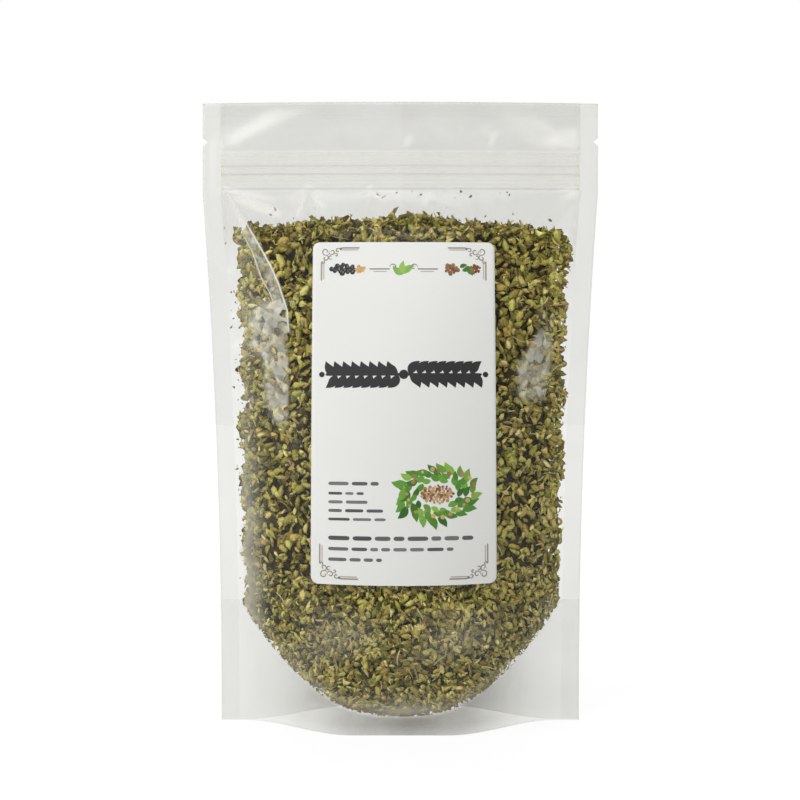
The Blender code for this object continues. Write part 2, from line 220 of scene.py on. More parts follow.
@dataclass(frozen=True)
class PaintedHighlight:
    """A painted highlight: a pale band of haze in the film that stands for light caught where it is
    pleated, and partly for real haze where it stands off the leaves.

    Each row is a height and the band's left and right edges there, in millimetres, from its foot up. Its
    edges and its ends fade over the soft widths, in millimetres. Its crumple is how unevenly it hides.
    """

    rows: tuple[tuple[float, float, float], ...]
    strength: float
    soft_left: float = 2.0
    soft_right: float = 2.0
    ends: float = 2.0
    crumple: float = 0.0

    def share(self, x: Array, z: Array) -> Array:
        """How far a place is inside the band, from 0 to 1: the product of a soft step in from every edge.

        Args:
            x, z: places across and heights.

        Returns:
            The band's share at each place.
        """
        height, left, right = np.array(self.rows).T * MM
        across = past(x - np.interp(z, height, left), 0, self.soft_left)
        across = across * past(np.interp(z, height, right) - x, 0, self.soft_right)
        ends = past(z - height[0], 0, self.ends) * past(height[-1] - z, 0, self.ends)
        return across * ends


def highlight_lobes(x: float, size: float, strength: float) -> tuple[PaintedHighlight, PaintedHighlight]:
    """Two painted highlights: pale lobes that hang from one point under the zip, the left one steeper.

    Args:
        x: where they meet, in millimetres.
        size: their length, where 1 is about 8 mm.
        strength: how pale they are.

    Returns:
        The left and the right lobe.
    """
    top = 173.4
    left = ((top - 9.5 * size, x - 5.4 * size, x - 2.2 * size),
            (top - 5.0 * size, x - 4.0 * size, x - 0.4 * size),
            (top, x - 1.2, x + 1.0))
    right = ((top - 7.0 * size, x + 4.6 * size, x + 9.4 * size),
             (top - 4.0 * size, x + 1.2 * size, x + 6.6 * size),
             (top, x - 0.8, x + 1.6))
    return PaintedHighlight(left, strength, 1.6, 1.6, 1.6), PaintedHighlight(right, strength, 1.6, 2.0, 1.6)


# Painted highlights on the front panel: lobes under the zip, soft bands in the head, and the pleat and
# patches of glare over the leaves.
FRONT_PAINTED_HIGHLIGHTS = (
    PaintedHighlight(((163.4, -43, -35.4), (165.6, -46.6, -35.2), (167.2, -50.8, -36.6), (168.9, -54.8, -39.6),
          (170.5, -57.4, -44), (173.4, -59, -50.2)), 0.32, 4.6, 4.6, 2.4),
    *highlight_lobes(-30.2, 1, 0.27),
    *highlight_lobes(-9.2, 0.72, 0.25),
    *highlight_lobes(9.8, 0.72, 0.23),
    *highlight_lobes(31, 0.60, 0.21),
    PaintedHighlight(((170, 50.6, 58.6), (174.6, 55.8, 59.4)), 0.21, 2, 1.2, 1.6),
    PaintedHighlight(((185.8, -59, -55.6), (188.2, -59, -50), (191.5, -58.8, -43.4), (194.8, -54.6, -37.4),
          (198, -49.6, -31), (201.6, -44, -24.6)), 0.19, 6, 8, 2.6),
    PaintedHighlight(((186, 40, 59), (190, 44, 59.6), (195.6, 50, 59.4)), 0.19, 7, 2.4, 3),
    PaintedHighlight(((187, 0, 3), (192, 1.2, 5.8)), 0.14, 1.4, 2, 1.6),
    PaintedHighlight(((187, 27.6, 30.8), (194, 29.2, 34)), 0.13, 1.6, 2.2, 2),
    PaintedHighlight(((126, -37.6, -34.6), (134.5, -41, -36.3), (144, -44.6, -39.4), (152, -48.4, -43.4),
          (160.5, -52.4, -48.2), (166, -54.8, -52.2), (173.5, -58.6, -56.8)), 0.36, 1.6, 0.9, 1.5, 0.9),
    PaintedHighlight(((96, -41.5, -35.6), (105, -45.4, -35.2), (119, -46.4, -35.4), (123, -50.6, -36.2),
          (133, -51.6, -36), (139, -43, -36.6)), 0.32, 3, 1.4, 3, 1),
    PaintedHighlight(((103, 36.5, 47.5), (116.4, 36, 50), (123, 40.5, 50.6), (131, 46, 50.5)),
         0.24, 3, 2, 4, 1.1),
)
# Painted highlights on the back panel: lobes under the zip, bands over the leaves and one in the head.
BACK_PAINTED_HIGHLIGHTS = (
    *highlight_lobes(24, 0.9, 0.20),
    *highlight_lobes(-4, 0.8, 0.18),
    *highlight_lobes(-33, 1, 0.20),
    PaintedHighlight(((106, 34, 38.6), (124, 39, 43.6), (151, 48.6, 51.2)), 0.36, 1.8, 1.4, 3, 0.35),
    PaintedHighlight(((100, -46, -37), (118, -49, -38), (138, -50, -43)), 0.32, 3, 2, 5, 0.5),
    PaintedHighlight(((188, 40, 58), (195, 34, 52), (200, 28, 44)), 0.19, 6, 6, 3),
)
# Paths of the pleat's pressed edges, which carry a painted highlight line.
PLEAT_EDGE = ((127, -36.2), (134, -36.6), (142.8, -39.6), (148.8, -42.3), (155, -45.8),
              (162.6, -50.2), (168.1, -53.6), (172.4, -56.6))
PLEAT_BACK_EDGE = ((136, -41), (139.5, -42.2), (144.9, -45.3), (153.6, -48.4), (160, -51.9))


@dataclass(frozen=True)
class PouchForm:
    """The shape of the filled pouch: its outline, belly, seals, weld line and wrinkles."""

    height: float
    top_half: float
    foot_half: float = 58.7 * MM
    wide_from: float = 173 * MM
    side_seal: float = 6 * MM
    top_seal_low: float = 198.3 * MM
    pitch: float = 0.65 * MM
    belly_most: float = 25 * MM
    belly_z: float = 45 * MM
    foot_loss: float = 1.5 * MM
    bow_most: float = 3 * MM
    bow_from: float = 150 * MM
    bow_run: float = 45 * MM
    foot_flat: float = 51 * MM
    foot_run: float = 36 * MM
    fold_z: float = 39.3 * MM
    weld_mid: float = 5.3 * MM
    weld_power: float = 2.3
    ridge: float = 0.6
    layer_run: float = 6 * MM
    zip_puff: float = 1.275 * MM
    puff_from: float = 160 * MM
    puff_run: float = 12 * MM
    mouth_from: float = 187 * MM
    mouth_run: float = 11 * MM
    end_in: float = 1 * MM
    end_run: float = 5 * MM
    heap_top: float = 163.2 * MM
    heap_half: float = 52.5 * MM
    heap_fall: float = 3.2 * MM
    heap_lift: float = 2.0 * MM
    ripple_seed: int = 31
    slow_ripple: float = 0.60 * MM
    dent: float = 0.34 * MM

    @classmethod
    def from_frame(cls) -> "PouchForm":
        """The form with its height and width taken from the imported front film."""
        low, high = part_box("front_film")
        return cls(height=high.z - low.z, top_half=(high.x - low.x) / 2)

    def half_width(self, z: Array) -> Array:
        """Half the outline's width: it grows with the square of the height, up to the zip."""
        return self.foot_half + (self.top_half - self.foot_half) * np.minimum(z / self.wide_from, 1) ** 2

    def seal_line(self, z: Array) -> Array:
        """The inner edge of the side seals."""
        return self.half_width(z) - self.side_seal

    def belly(self, z: Array) -> Array:
        """The greatest bulge at a height, which closes to nothing at the zip.

        Below belly_z a little is taken off with the square of the distance. Above it the bulge falls as
        one less the 1.5th power of the way up, all to the power 0.8.
        """
        below = self.foot_loss * np.clip((self.belly_z - z) / self.belly_z, 0, 1) ** 2
        rise = np.clip((z - self.belly_z) / (self.wide_from - self.belly_z), 0, 1)
        return (self.belly_most - below) * (1 - rise**1.5) ** 0.8

    def layer(self, z: Array) -> Array:
        """Half the stack in the side seal: two films above the gusset's fold, four below it."""
        return self.pitch * (0.5 + smooth((self.fold_z + self.layer_run - z) / self.layer_run))

    def bulge(self, x: Array, z: Array) -> Array:
        """How far a panel stands out from the flat seals.

        A round dome across the width, which turns into a flat-fronted S-curve at the foot, and a flat
        step over the zip.

        Args:
            x, z: places across and heights.

        Returns:
            The distance outwards at each place.
        """
        across = np.abs(x)
        dome = np.clip(1 - (across / self.seal_line(z)) ** 2, 0, 1)
        foot = smooth((self.foot_flat - across) / self.foot_run)
        plan = foot + (dome - foot) * smooth(z / self.belly_z)
        run = smooth((z - self.puff_from) / self.puff_run)
        run = run * (1 - smooth((z - self.mouth_from) / self.mouth_run))
        step = smooth((self.half_width(z) - self.end_in - across) / self.end_run)
        return self.belly(z) * plan + self.zip_puff * run * step

    def bow(self, x: Array, z: Array) -> Array:
        """How far the mouth curves to the front: a parabola across, growing with height."""
        rise = smooth((z - self.bow_from) / self.bow_run)
        return self.bow_most * (1 - (x / self.half_width(z)) ** 2) * rise

    def reach(self, x: Array, z: Array) -> Array:
        """Distance of a panel's middle surface from the middle plane."""
        return self.layer(z) + self.bulge(x, z)

    def weld_z(self, x: Array) -> Array:
        """The U-shaped line where the gusset leaves the panels: a power curve across the width."""
        across = np.clip(np.abs(x) / self.seal_line(self.fold_z), 0, 1)
        return self.weld_mid + (self.fold_z - self.weld_mid) * across**self.weld_power

    def dish_z(self, x: Array, y: Array) -> Array:
        """Height of the gusset's dish: the weld's height and a soft cosine ridge along the middle."""
        low = self.weld_z(x)
        side = self.reach(x, low) - self.pitch
        across = np.clip(y / np.maximum(side, 0.3 * MM), -1, 1)
        return low + self.ridge * self.bulge(x, low) * (0.5 + 0.5 * np.cos(math.pi * across))

    def heap_z(self, x: Array) -> Array:
        """Height of the leaves' top: a low arch that falls with the square of x, and a few slow humps."""
        across = x / self.heap_half
        humps = 0.7 * np.sin(95 * x + 1.1) + 0.5 * np.sin(210 * x + 0.4)
        return self.heap_top - self.heap_fall * across**2 + humps * MM

    def heap_edges(self, z: Array) -> tuple[Array, Array]:
        """The leaves' left and right limits: short of the seal lines, more so above and on the left.

        Args:
            z: heights.

        Returns:
            X of the left and of the right limit.
        """
        rise = past(z, 80, 60)
        left = 2.0 + 2.2 * rise + 0.7 * np.sin(310 * z) + 0.4 * np.sin(730 * z + 2)
        right = 1.0 + 1.4 * rise + 0.5 * np.sin(270 * z + 1) + 0.35 * np.sin(690 * z)
        return left * MM - self.seal_line(z), self.seal_line(z) - right * MM

    def heap_low(self, x: Array) -> Array:
        """The leaves' lower limit: a little above the weld line, unevenly."""
        lift = self.heap_lift - 1.2 * MM * bell(x, 22 * MM)
        return self.weld_z(x) + lift + 0.4 * MM * np.sin(420 * x) + 0.2 * MM * np.sin(960 * x + 1)

    def in_heap(self, x: Array, z: Array) -> Array:
        """Whether places on a panel have leaves behind them."""
        left, right = self.heap_edges(z)
        return (z < self.heap_z(x)) & (z > self.heap_low(x)) & (x > left) & (x < right)

    def panel_normal(self, x: Array, z: Array, side: Side) -> Array:
        """Outward normals of a panel, from the slope of its reach over half a millimetre each way."""
        step = 0.5 * MM
        dx = (self.reach(x + step, z) - self.reach(x - step, z)) / (2 * step)
        dz = (self.reach(x, z + step) - self.reach(x, z - step)) / (2 * step)
        return unit(stacked(-dx, np.full_like(x, side.value), -dz))

    def named_folds(self, side: Side) -> tuple[Fold, ...]:
        """The folds of one panel."""
        return FRONT_FOLDS if side is Side.FRONT else BACK_FOLDS

    def named_painted_highlights(self, side: Side) -> tuple[PaintedHighlight, ...]:
        """The painted highlights of one panel: its pale bands."""
        return FRONT_PAINTED_HIGHLIGHTS if side is Side.FRONT else BACK_PAINTED_HIGHLIGHTS

    def folds(self, x: Array, z: Array, side: Side) -> Array:
        """The panel's named folds, with short puckers beside the side seals.

        A pucker is a sine along the seal that dies away from it, and is left out at the foot and zip.

        Args:
            x, z: places across and heights.
            side: which panel.

        Returns:
            The distance outwards at each place.
        """
        total = sum(fold.height(x, z) for fold in self.named_folds(side))
        inward = self.seal_line(z) - np.abs(x)
        phase = np.where(x > 0, 1.3, 0.2) + side.value
        total = total * past(inward, -0.5, 2)
        wave = 0.6 * np.sin(2 * math.pi * z / (14 * MM) + phase)
        wave = wave + 0.4 * np.sin(2 * math.pi * z / (8.5 * MM))
        level = past(z, 44, 20) * before(z, 172, 12)
        fade = np.exp(-np.maximum(inward, 0) / (6 * MM)) * past(inward, 0, 1.5)
        return total + 0.45 * MM * wave * fade * level

    def ripple(self, x: Array, z: Array, side: Side) -> Array:
        """Slow waves in the empty head of the pouch and fine dents where the film lies on leaves.

        Both are means of sine waves with directions and lengths drawn from a fixed seed.

        Args:
            x, z: places across and heights.
            side: which panel.

        Returns:
            The distance outwards at each place.
        """
        draw = np.random.default_rng(self.ripple_seed + side.value)
        slow = waves(x, z, 6, (0.3, 1.2), (16, 42), draw)
        fine = waves(x, z, 16, (0, math.pi), (3.4, 8.5), draw)
        inside = past(self.seal_line(z) - np.abs(x), 0, 4)
        head = past(z, 160, 12) * (1 - past(z, 196, 4))
        filled = 1 - past(z, 158, 8)
        above_weld = past(z - self.weld_z(x), 0, 3)
        zip_flat = 1 - past(z, 171, 4) * (1 - past(z, 186, 4))
        return inside * (self.slow_ripple * slow * head * zip_flat + self.dent * fine * filled * above_weld)


FORM = PouchForm.from_frame()


def set_attribute(mesh: bpy.types.Mesh, name: str, values: Array) -> None:
    """Writes one number per point to a float attribute of the mesh."""
    layer = mesh.attributes.new(name, "FLOAT", "POINT")
    layer.data.foreach_set("value", np.ascontiguousarray(values, np.float32).ravel())


def linked(name: str, data: bpy.types.ID) -> Piece:
    """A new object for a mesh, light or camera, linked to the scene."""
    piece = bpy.data.objects.new(name, data)
    bpy.context.scene.collection.objects.link(piece)
    return piece


def mesh_piece(name: str, points: Array, faces: Faces, shade_smooth: bool, **attributes: Array) -> Piece:
    """An object at the origin from points and faces with one number of corners.

    Args:
        name: the object's name.
        points: an array of points, 3 numbers each.
        faces: an array of faces, 3 or 4 point numbers each.
        shade_smooth: whether its faces are shaded smooth.
        attributes: float attributes, one number per point.

    Returns:
        The linked object.
    """
    mesh = bpy.data.meshes.new(name)
    count, corners = faces.shape
    mesh.vertices.add(len(points))
    mesh.vertices.foreach_set("co", np.ascontiguousarray(points, np.float32).ravel())
    mesh.loops.add(count * corners)
    mesh.loops.foreach_set("vertex_index", np.ascontiguousarray(faces, np.int32).ravel())
    mesh.polygons.add(count)
    mesh.polygons.foreach_set("loop_start", np.arange(0, count * corners, corners, dtype=np.int32))
    mesh.update(calc_edges=True)
    mesh.polygons.foreach_set("use_smooth", np.full(count, shade_smooth))
    for key, values in attributes.items():
        set_attribute(mesh, key, values)
    return linked(name, mesh)


def grid_quads(rows: int, columns: int) -> Faces:
    """Quads of a grid of points stored row by row."""
    index = np.arange(rows * columns).reshape(rows, columns)
    corners = (index[:-1, :-1], index[:-1, 1:], index[1:, 1:], index[1:, :-1])
    return np.stack(corners, axis=-1).reshape(-1, 4)


def sheet_faces(rows: int, columns: int) -> Faces:
    """Quads of a closed thin sheet whose outer grid of points comes before its inner grid.

    The outer grid has its columns along +X and its rows along +Z, and faces -Y.

    Args:
        rows: how many rows of points each grid has.
        columns: how many points in a row.

    Returns:
        The quads of both grids and of the rim between them.
    """
    face = grid_quads(rows, columns)
    count = rows * columns
    index = np.arange(count).reshape(rows, columns)
    loop = np.concatenate([index[0], index[1:, -1], index[-1, -2::-1], index[-2:0:-1, 0]])
    after = np.roll(loop, -1)
    rim = np.stack([after, loop, loop + count, after + count], axis=-1)
    return np.concatenate([face, face[:, ::-1] + count, rim])


def sheet_piece(name: str, outer: Array, inner: Array, flip: bool, **attributes: Array) -> Piece:
    """A closed thin sheet between two grids of points.

    Args:
        name: the object's name.
        outer: the outer points, rows by columns by 3.
        inner: the inner points, in the same order.
        flip: turns every face round, for a sheet whose outer grid faces +Y.
        attributes: numbers per point of the outer grid, which the inner grid repeats.

    Returns:
        The linked object.
    """
    rows, columns = outer.shape[:2]
    faces = sheet_faces(rows, columns)
    points = np.concatenate([outer.reshape(-1, 3), inner.reshape(-1, 3)])
    both = {key: np.tile(values.ravel(), 2) for key, values in attributes.items()}
    return mesh_piece(name, points, faces[:, ::-1] if flip else faces, True, **both)


def loft_piece(name: str, rings: Array, **attributes: Array) -> Piece:
    """A closed solid through rings of points, with a fan at each end.

    Args:
        name: the object's name.
        rings: stations by points by 3, each ring in the same order round the solid.
        attributes: numbers per ring point. The two end points take the mean.

    Returns:
        The linked object, made of triangles.
    """
    stations, count = rings.shape[:2]
    index = np.arange(stations * count).reshape(stations, count)
    turn = np.roll(index, -1, axis=1)
    quads = np.stack([index[:-1], turn[:-1], turn[1:], index[1:]], axis=-1).reshape(-1, 4)
    sides = np.concatenate([quads[:, [0, 1, 2]], quads[:, [0, 2, 3]]])
    first, last = stations * count, stations * count + 1
    start = np.stack([turn[0], index[0], np.full(count, first)], axis=-1)
    end = np.stack([index[-1], turn[-1], np.full(count, last)], axis=-1)
    points = np.concatenate([rings.reshape(-1, 3), rings[0].mean(0)[None], rings[-1].mean(0)[None]])
    both = {key: np.append(values.ravel(), [values.mean()] * 2) for key, values in attributes.items()}
    return mesh_piece(name, points, np.concatenate([sides, start, end]), True, **both)


COLOUR_A, COLOUR_B, COLOUR_OUT = 6, 7, 2


class Nodes:
    """A short way to build one material's or group's nodes.

    A Mix node's colour sockets share their names with its other sockets, so they go by number.
    """

    def __init__(self, tree: bpy.types.NodeTree) -> None:
        """Keeps the tree that nodes are added to."""
        self.tree = tree

    def add(self, kind: str, **settings: object) -> bpy.types.Node:
        """Adds a node of a kind and sets its properties."""
        node = self.tree.nodes.new(kind)
        for key, value in settings.items():
            setattr(node, key, value)
        return node

    def feed(self, source: object, target: Socket) -> None:
        """Links a socket to another, or sets a plain value on it."""
        if isinstance(source, Socket):
            self.tree.links.new(source, target)
        else:
            target.default_value = source

    def result(self, kind: str, *sources: object, **settings: object) -> Socket:
        """The first output of a new node whose first inputs take sockets or values."""
        node = self.add(kind, **settings)
        for source, target in zip(sources, node.inputs):
            self.feed(source, target)
        return node.outputs[0]

    def math(self, operation: str, *values: object, clamp: bool = False) -> Socket:
        """The result of one Math node."""
        return self.result("ShaderNodeMath", *values, operation=operation, use_clamp=clamp)

    def scaled(self, value: object, times: object, plus: float) -> Socket:
        """A value times another, plus a constant."""
        return self.math("MULTIPLY_ADD", value, times, plus)

    def centred(self, level: object, times: float) -> Socket:
        """A 0 to 1 level moved to lie about nothing, and scaled."""
        return self.math("MULTIPLY", self.math("SUBTRACT", level, 0.5), times)

    def mixed(self, share: Socket, first: Socket, second: Socket) -> Socket:
        """The first shader, with a share of the second in its place."""
        return self.result("ShaderNodeMixShader", share, first, second)

    def attribute(self, name: str) -> Socket:
        """The number that a mesh attribute holds."""
        return self.add("ShaderNodeAttribute", attribute_name=name).outputs["Fac"]

    def noise(self, scale: float, detail: float, rough: float = 0.5,
              stretch: Sequence[float] = (1, 1, 1)) -> Socket:
        """Noise on Object coordinates.

        Args:
            scale: turns per metre.
            detail: how many finer layers are added.
            rough: how strong each finer layer is.
            stretch: a factor on the scale along each axis.

        Returns:
            The level, from 0 to 1.
        """
        place = self.add("ShaderNodeTexCoord").outputs["Object"]
        mapping = self.add("ShaderNodeMapping")
        self.feed(place, mapping.inputs["Vector"])
        mapping.inputs["Scale"].default_value = stretch
        node = self.add("ShaderNodeTexNoise")
        self.feed(mapping.outputs[0], node.inputs["Vector"])
        node.inputs["Scale"].default_value = scale
        node.inputs["Detail"].default_value = detail
        node.inputs["Roughness"].default_value = rough
        return node.outputs["Fac"]

    def cells(self, scale: float, soft: float) -> Socket:
        """A random level for each cell of a 3-D cell pattern, with slightly blended borders.

        Args:
            scale: cells to a metre.
            soft: how far neighbours blend.

        Returns:
            The colour output, which reads as a level.
        """
        node = self.add("ShaderNodeTexVoronoi", feature="SMOOTH_F1")
        self.feed(self.add("ShaderNodeTexCoord").outputs["Object"], node.inputs["Vector"])
        node.inputs["Scale"].default_value = scale
        node.inputs["Smoothness"].default_value = soft
        return node.outputs["Color"]

    def ramp(self, value: object, stops: Stops) -> Socket:
        """A colour ramp.

        Args:
            value: the level that picks the colour.
            stops: places from 0 to 1, each with its colour.

        Returns:
            The colour.
        """
        node = self.add("ShaderNodeValToRGB")
        band = node.color_ramp
        while len(band.elements) < len(stops):
            band.elements.new(0.5)
        for element, (place, colour) in zip(band.elements, stops):
            element.position = place
            element.color = (*colour, 1)
        self.feed(value, node.inputs["Fac"])
        return node.outputs["Color"]

    def tinted(self, colour: object, by: object, amount: float) -> Socket:
        """A colour made darker and lighter by a 0 to 1 level, evenly about its middle."""
        return self.multiplied(colour, self.scaled(by, 2 * amount, 1 - amount))

    def multiplied(self, first: object, second: object) -> Socket:
        """One colour times another, or times a level."""
        node = self.add("ShaderNodeMix", data_type="RGBA", blend_type="MULTIPLY")
        node.inputs["Factor"].default_value = 1
        self.feed(first, node.inputs[COLOUR_A])
        self.feed(second, node.inputs[COLOUR_B])
        return node.outputs[COLOUR_OUT]

    def bump(self, height: Socket, strength: float, distance: float) -> Socket:
        """The normal of a Bump node, with its distance in metres."""
        node = self.add("ShaderNodeBump")
        node.inputs["Strength"].default_value = strength
        node.inputs["Distance"].default_value = distance
        self.feed(height, node.inputs["Height"])
        return node.outputs["Normal"]


def new_material(name: str) -> tuple[Material, Nodes, bpy.types.Node, bpy.types.Node]:
    """A material, with a builder for its nodes, its Principled shader and its output."""
    material = bpy.data.materials.new(name)
    material.use_nodes = True
    tree = material.node_tree
    return material, Nodes(tree), tree.nodes["Principled BSDF"], tree.nodes["Material Output"]


def speckle_group() -> bpy.types.NodeTree:
    """The mottling that leaf, stem and crumb share: two sizes of noise mixed to one mask, built once.

    Returns:
        A node group with inputs Coarse and Fine, both scales, and one output, Mask.
    """
    found = bpy.data.node_groups.get("speckle")
    if found:
        return found
    group = bpy.data.node_groups.new("speckle", "ShaderNodeTree")
    group.interface.new_socket("Coarse", in_out="INPUT", socket_type="NodeSocketFloat")
    group.interface.new_socket("Fine", in_out="INPUT", socket_type="NodeSocketFloat")
    group.interface.new_socket("Mask", in_out="OUTPUT", socket_type="NodeSocketFloat")
    nodes = Nodes(group)
    given = nodes.add("NodeGroupInput")
    place = nodes.add("ShaderNodeTexCoord").outputs["Object"]
    masks = []
    for key, detail in (("Coarse", 2.0), ("Fine", 4.0)):
        noise = nodes.add("ShaderNodeTexNoise")
        nodes.feed(place, noise.inputs["Vector"])
        nodes.feed(given.outputs[key], noise.inputs["Scale"])
        noise.inputs["Detail"].default_value = detail
        masks.append(noise.outputs["Fac"])
    total = nodes.math("MULTIPLY", nodes.math("ADD", masks[0], masks[1]), 0.5)
    nodes.feed(total, nodes.add("NodeGroupOutput").inputs["Mask"])
    return group


def speckle(nodes: Nodes, coarse: float, fine: float) -> Socket:
    """The speckle group placed in a material with its own scales."""
    node = nodes.add("ShaderNodeGroup")
    node.node_tree = speckle_group()
    node.inputs["Coarse"].default_value = coarse
    node.inputs["Fine"].default_value = fine
    return node.outputs["Mask"]


@dataclass(frozen=True)
class FilmFinish:
    """Clear glossy film: see-through, with a faint haze where the mesh's attributes say so.

    The haze attribute is how much the film hides, shade is how pale that haze is, and crumple is how far
    fine wrinkles break it up. Besides the film's own haze, these carry painted highlights, pale bands and
    lines for light caught on folds, seals and zip ridges, and painted shade, dark haze for the shadow
    under the gusset and in the zip's grooves.
    fine wrinkles break it up.
    """

    name: str
    tint: Colour = (0.966, 0.967, 0.955)
    # Haze colours from dark to pale; the pale end also colours the painted highlights and the dark end the
    # painted shade.
    haze_stops: Stops = ((0.0, (0.16, 0.15, 0.10)), (0.5, (0.55, 0.53, 0.46)), (1.0, (0.96, 0.945, 0.83)))
    roughness: float = 0.29
    ior: float = 1.44
    grain: float = 0.10
    patch_scale: float = 60.0
    facet_scale: float = 460.0
    wrinkle_scale: float = 300.0
    dimple_scale: float = 420.0
    dimple_high: float = 0.25 * MM
    least_left: float = 0.1

    def build(self) -> Material:
        """The film's material.

        Haze mixes a pale Principled over a Transparent shader. Fresnel then mixes a glossy shader over
        both. The far face of the thin sheet is left fully clear, so a sheet counts once.
        """
        material, nodes, shader, output = new_material(self.name)
        patchy = nodes.scaled(nodes.noise(self.patch_scale, 3), 0.6, 0.7)
        facets = nodes.centred(nodes.cells(self.facet_scale, 0.3), 1.7)
        wrinkle = nodes.math("ADD", facets, nodes.centred(nodes.noise(self.wrinkle_scale, 4, 0.6), 1.2))
        uneven = nodes.scaled(wrinkle, nodes.attribute("crumple"), 1.0)
        even = nodes.math("MULTIPLY", nodes.attribute("haze"), patchy)
        haze = nodes.math("MULTIPLY", even, nodes.math("MAXIMUM", uneven, self.least_left), clamp=True)
        nodes.feed(nodes.ramp(nodes.attribute("shade"), self.haze_stops), shader.inputs["Base Color"])
        shader.inputs["Roughness"].default_value = 0.5
        shader.inputs["Specular IOR Level"].default_value = 0.0
        clear = nodes.add("ShaderNodeBsdfTransparent")
        clear.inputs["Color"].default_value = (*self.tint, 1)
        veil = nodes.mixed(haze, clear.outputs[0], shader.outputs[0])
        dimples = nodes.noise(self.dimple_scale, 3, 0.6)
        gloss = nodes.add("ShaderNodeBsdfGlossy")
        gloss.inputs["Roughness"].default_value = self.roughness
        nodes.feed(nodes.bump(dimples, self.grain, self.dimple_high), gloss.inputs["Normal"])
        fresnel = nodes.add("ShaderNodeFresnel")
        fresnel.inputs["IOR"].default_value = self.ior
        skin = nodes.mixed(fresnel.outputs[0], veil, gloss.outputs[0])
        through = nodes.add("ShaderNodeBsdfTransparent")
        far_face = nodes.add("ShaderNodeNewGeometry").outputs["Backfacing"]
        nodes.feed(nodes.mixed(far_face, skin, through.outputs[0]), output.inputs["Surface"])
        return material


LEAF_CASTS = (
    (0.00, (0.82, 0.95, 0.80)),
    (0.25, (0.93, 0.99, 0.86)),
    (0.50, (1.00, 1.00, 0.96)),
    (0.80, (1.03, 0.97, 1.02)),
    (1.00, (1.09, 0.88, 0.84)),
)


@dataclass(frozen=True)
class LeafFinish:
    """Dried leaf, stem or crumb: a ramp of colours over each flake's tone, mottled and dull.

    Each flake's cast then turns it greener or browner.
    """

    name: str
    stops: Stops
    coarse: float = 420.0
    fine: float = 1250.0
    mottle: float = 0.62
    roughness: float = 0.82

    def build(self) -> Material:
        """The material, with a fine bump and rougher pale spots."""
        material, nodes, shader, _ = new_material(self.name)
        mask = speckle(nodes, self.coarse, self.fine)
        tone = nodes.ramp(nodes.attribute("tone"), self.stops)
        cast = nodes.ramp(nodes.attribute("cast"), LEAF_CASTS)
        colour = nodes.tinted(nodes.multiplied(tone, cast), mask, self.mottle)
        nodes.feed(colour, shader.inputs["Base Color"])
        nodes.feed(nodes.scaled(mask, 0.2, self.roughness - 0.1), shader.inputs["Roughness"])
        nodes.feed(nodes.bump(mask, 0.7, 0.5 * MM), shader.inputs["Normal"])
        shader.inputs["Specular IOR Level"].default_value = 0.3
        return material


@dataclass(frozen=True)
class PaperFinish:
    """Smooth off-white label stock with a faint fibre and a satin surface."""

    name: str = "label_stock"
    colour: Colour = (0.80, 0.805, 0.77)
    roughness: float = 0.46

    def build(self) -> Material:
        """The material: slow shade changes, short fibres and a slight bump."""
        material, nodes, shader, _ = new_material(self.name)
        fibre = nodes.noise(900, 4, 0.6, (1, 1, 3.5))
        cloud = nodes.noise(28, 2)
        colour = nodes.tinted(nodes.tinted(self.colour_node(nodes), cloud, 0.022), fibre, 0.018)
        nodes.feed(colour, shader.inputs["Base Color"])
        nodes.feed(nodes.scaled(fibre, 0.14, self.roughness - 0.07), shader.inputs["Roughness"])
        nodes.feed(nodes.bump(nodes.noise(170, 3), 0.16, 0.4 * MM), shader.inputs["Normal"])
        return material

    def colour_node(self, nodes: Nodes) -> Socket:
        """The stock's own colour as a socket."""
        node = nodes.add("ShaderNodeRGB")
        node.outputs[0].default_value = (*self.colour, 1)
        return node.outputs[0]


@dataclass(frozen=True)
class InkFinish:
    """Printed ink: a colour range over the print's tone, a little uneven and slightly glossy."""

    name: str
    stops: Stops
    roughness: float = 0.4

    def build(self) -> Material:
        """The material, with the uneven laydown of ink on paper."""
        material, nodes, shader, _ = new_material(self.name)
        grain = nodes.noise(1300, 3, 0.6)
        colour = nodes.tinted(nodes.ramp(nodes.attribute("tone"), self.stops), grain, 0.16)
        nodes.feed(colour, shader.inputs["Base Color"])
        nodes.feed(nodes.scaled(grain, 0.15, self.roughness), shader.inputs["Roughness"])
        return material


LEAF_TONES = (
    (0.00, (0.058, 0.043, 0.008)),
    (0.18, (0.211, 0.168, 0.031)),
    (0.42, (0.445, 0.377, 0.078)),
    (0.64, (0.643, 0.557, 0.146)),
    (0.80, (0.796, 0.696, 0.229)),
    (0.92, (0.900, 0.829, 0.322)),
    (1.00, (0.445, 0.284, 0.083)),
)
STEM_TONES = ((0.0, (0.34, 0.25, 0.09)), (0.5, (0.54, 0.47, 0.20)), (1.0, (0.74, 0.68, 0.38)))
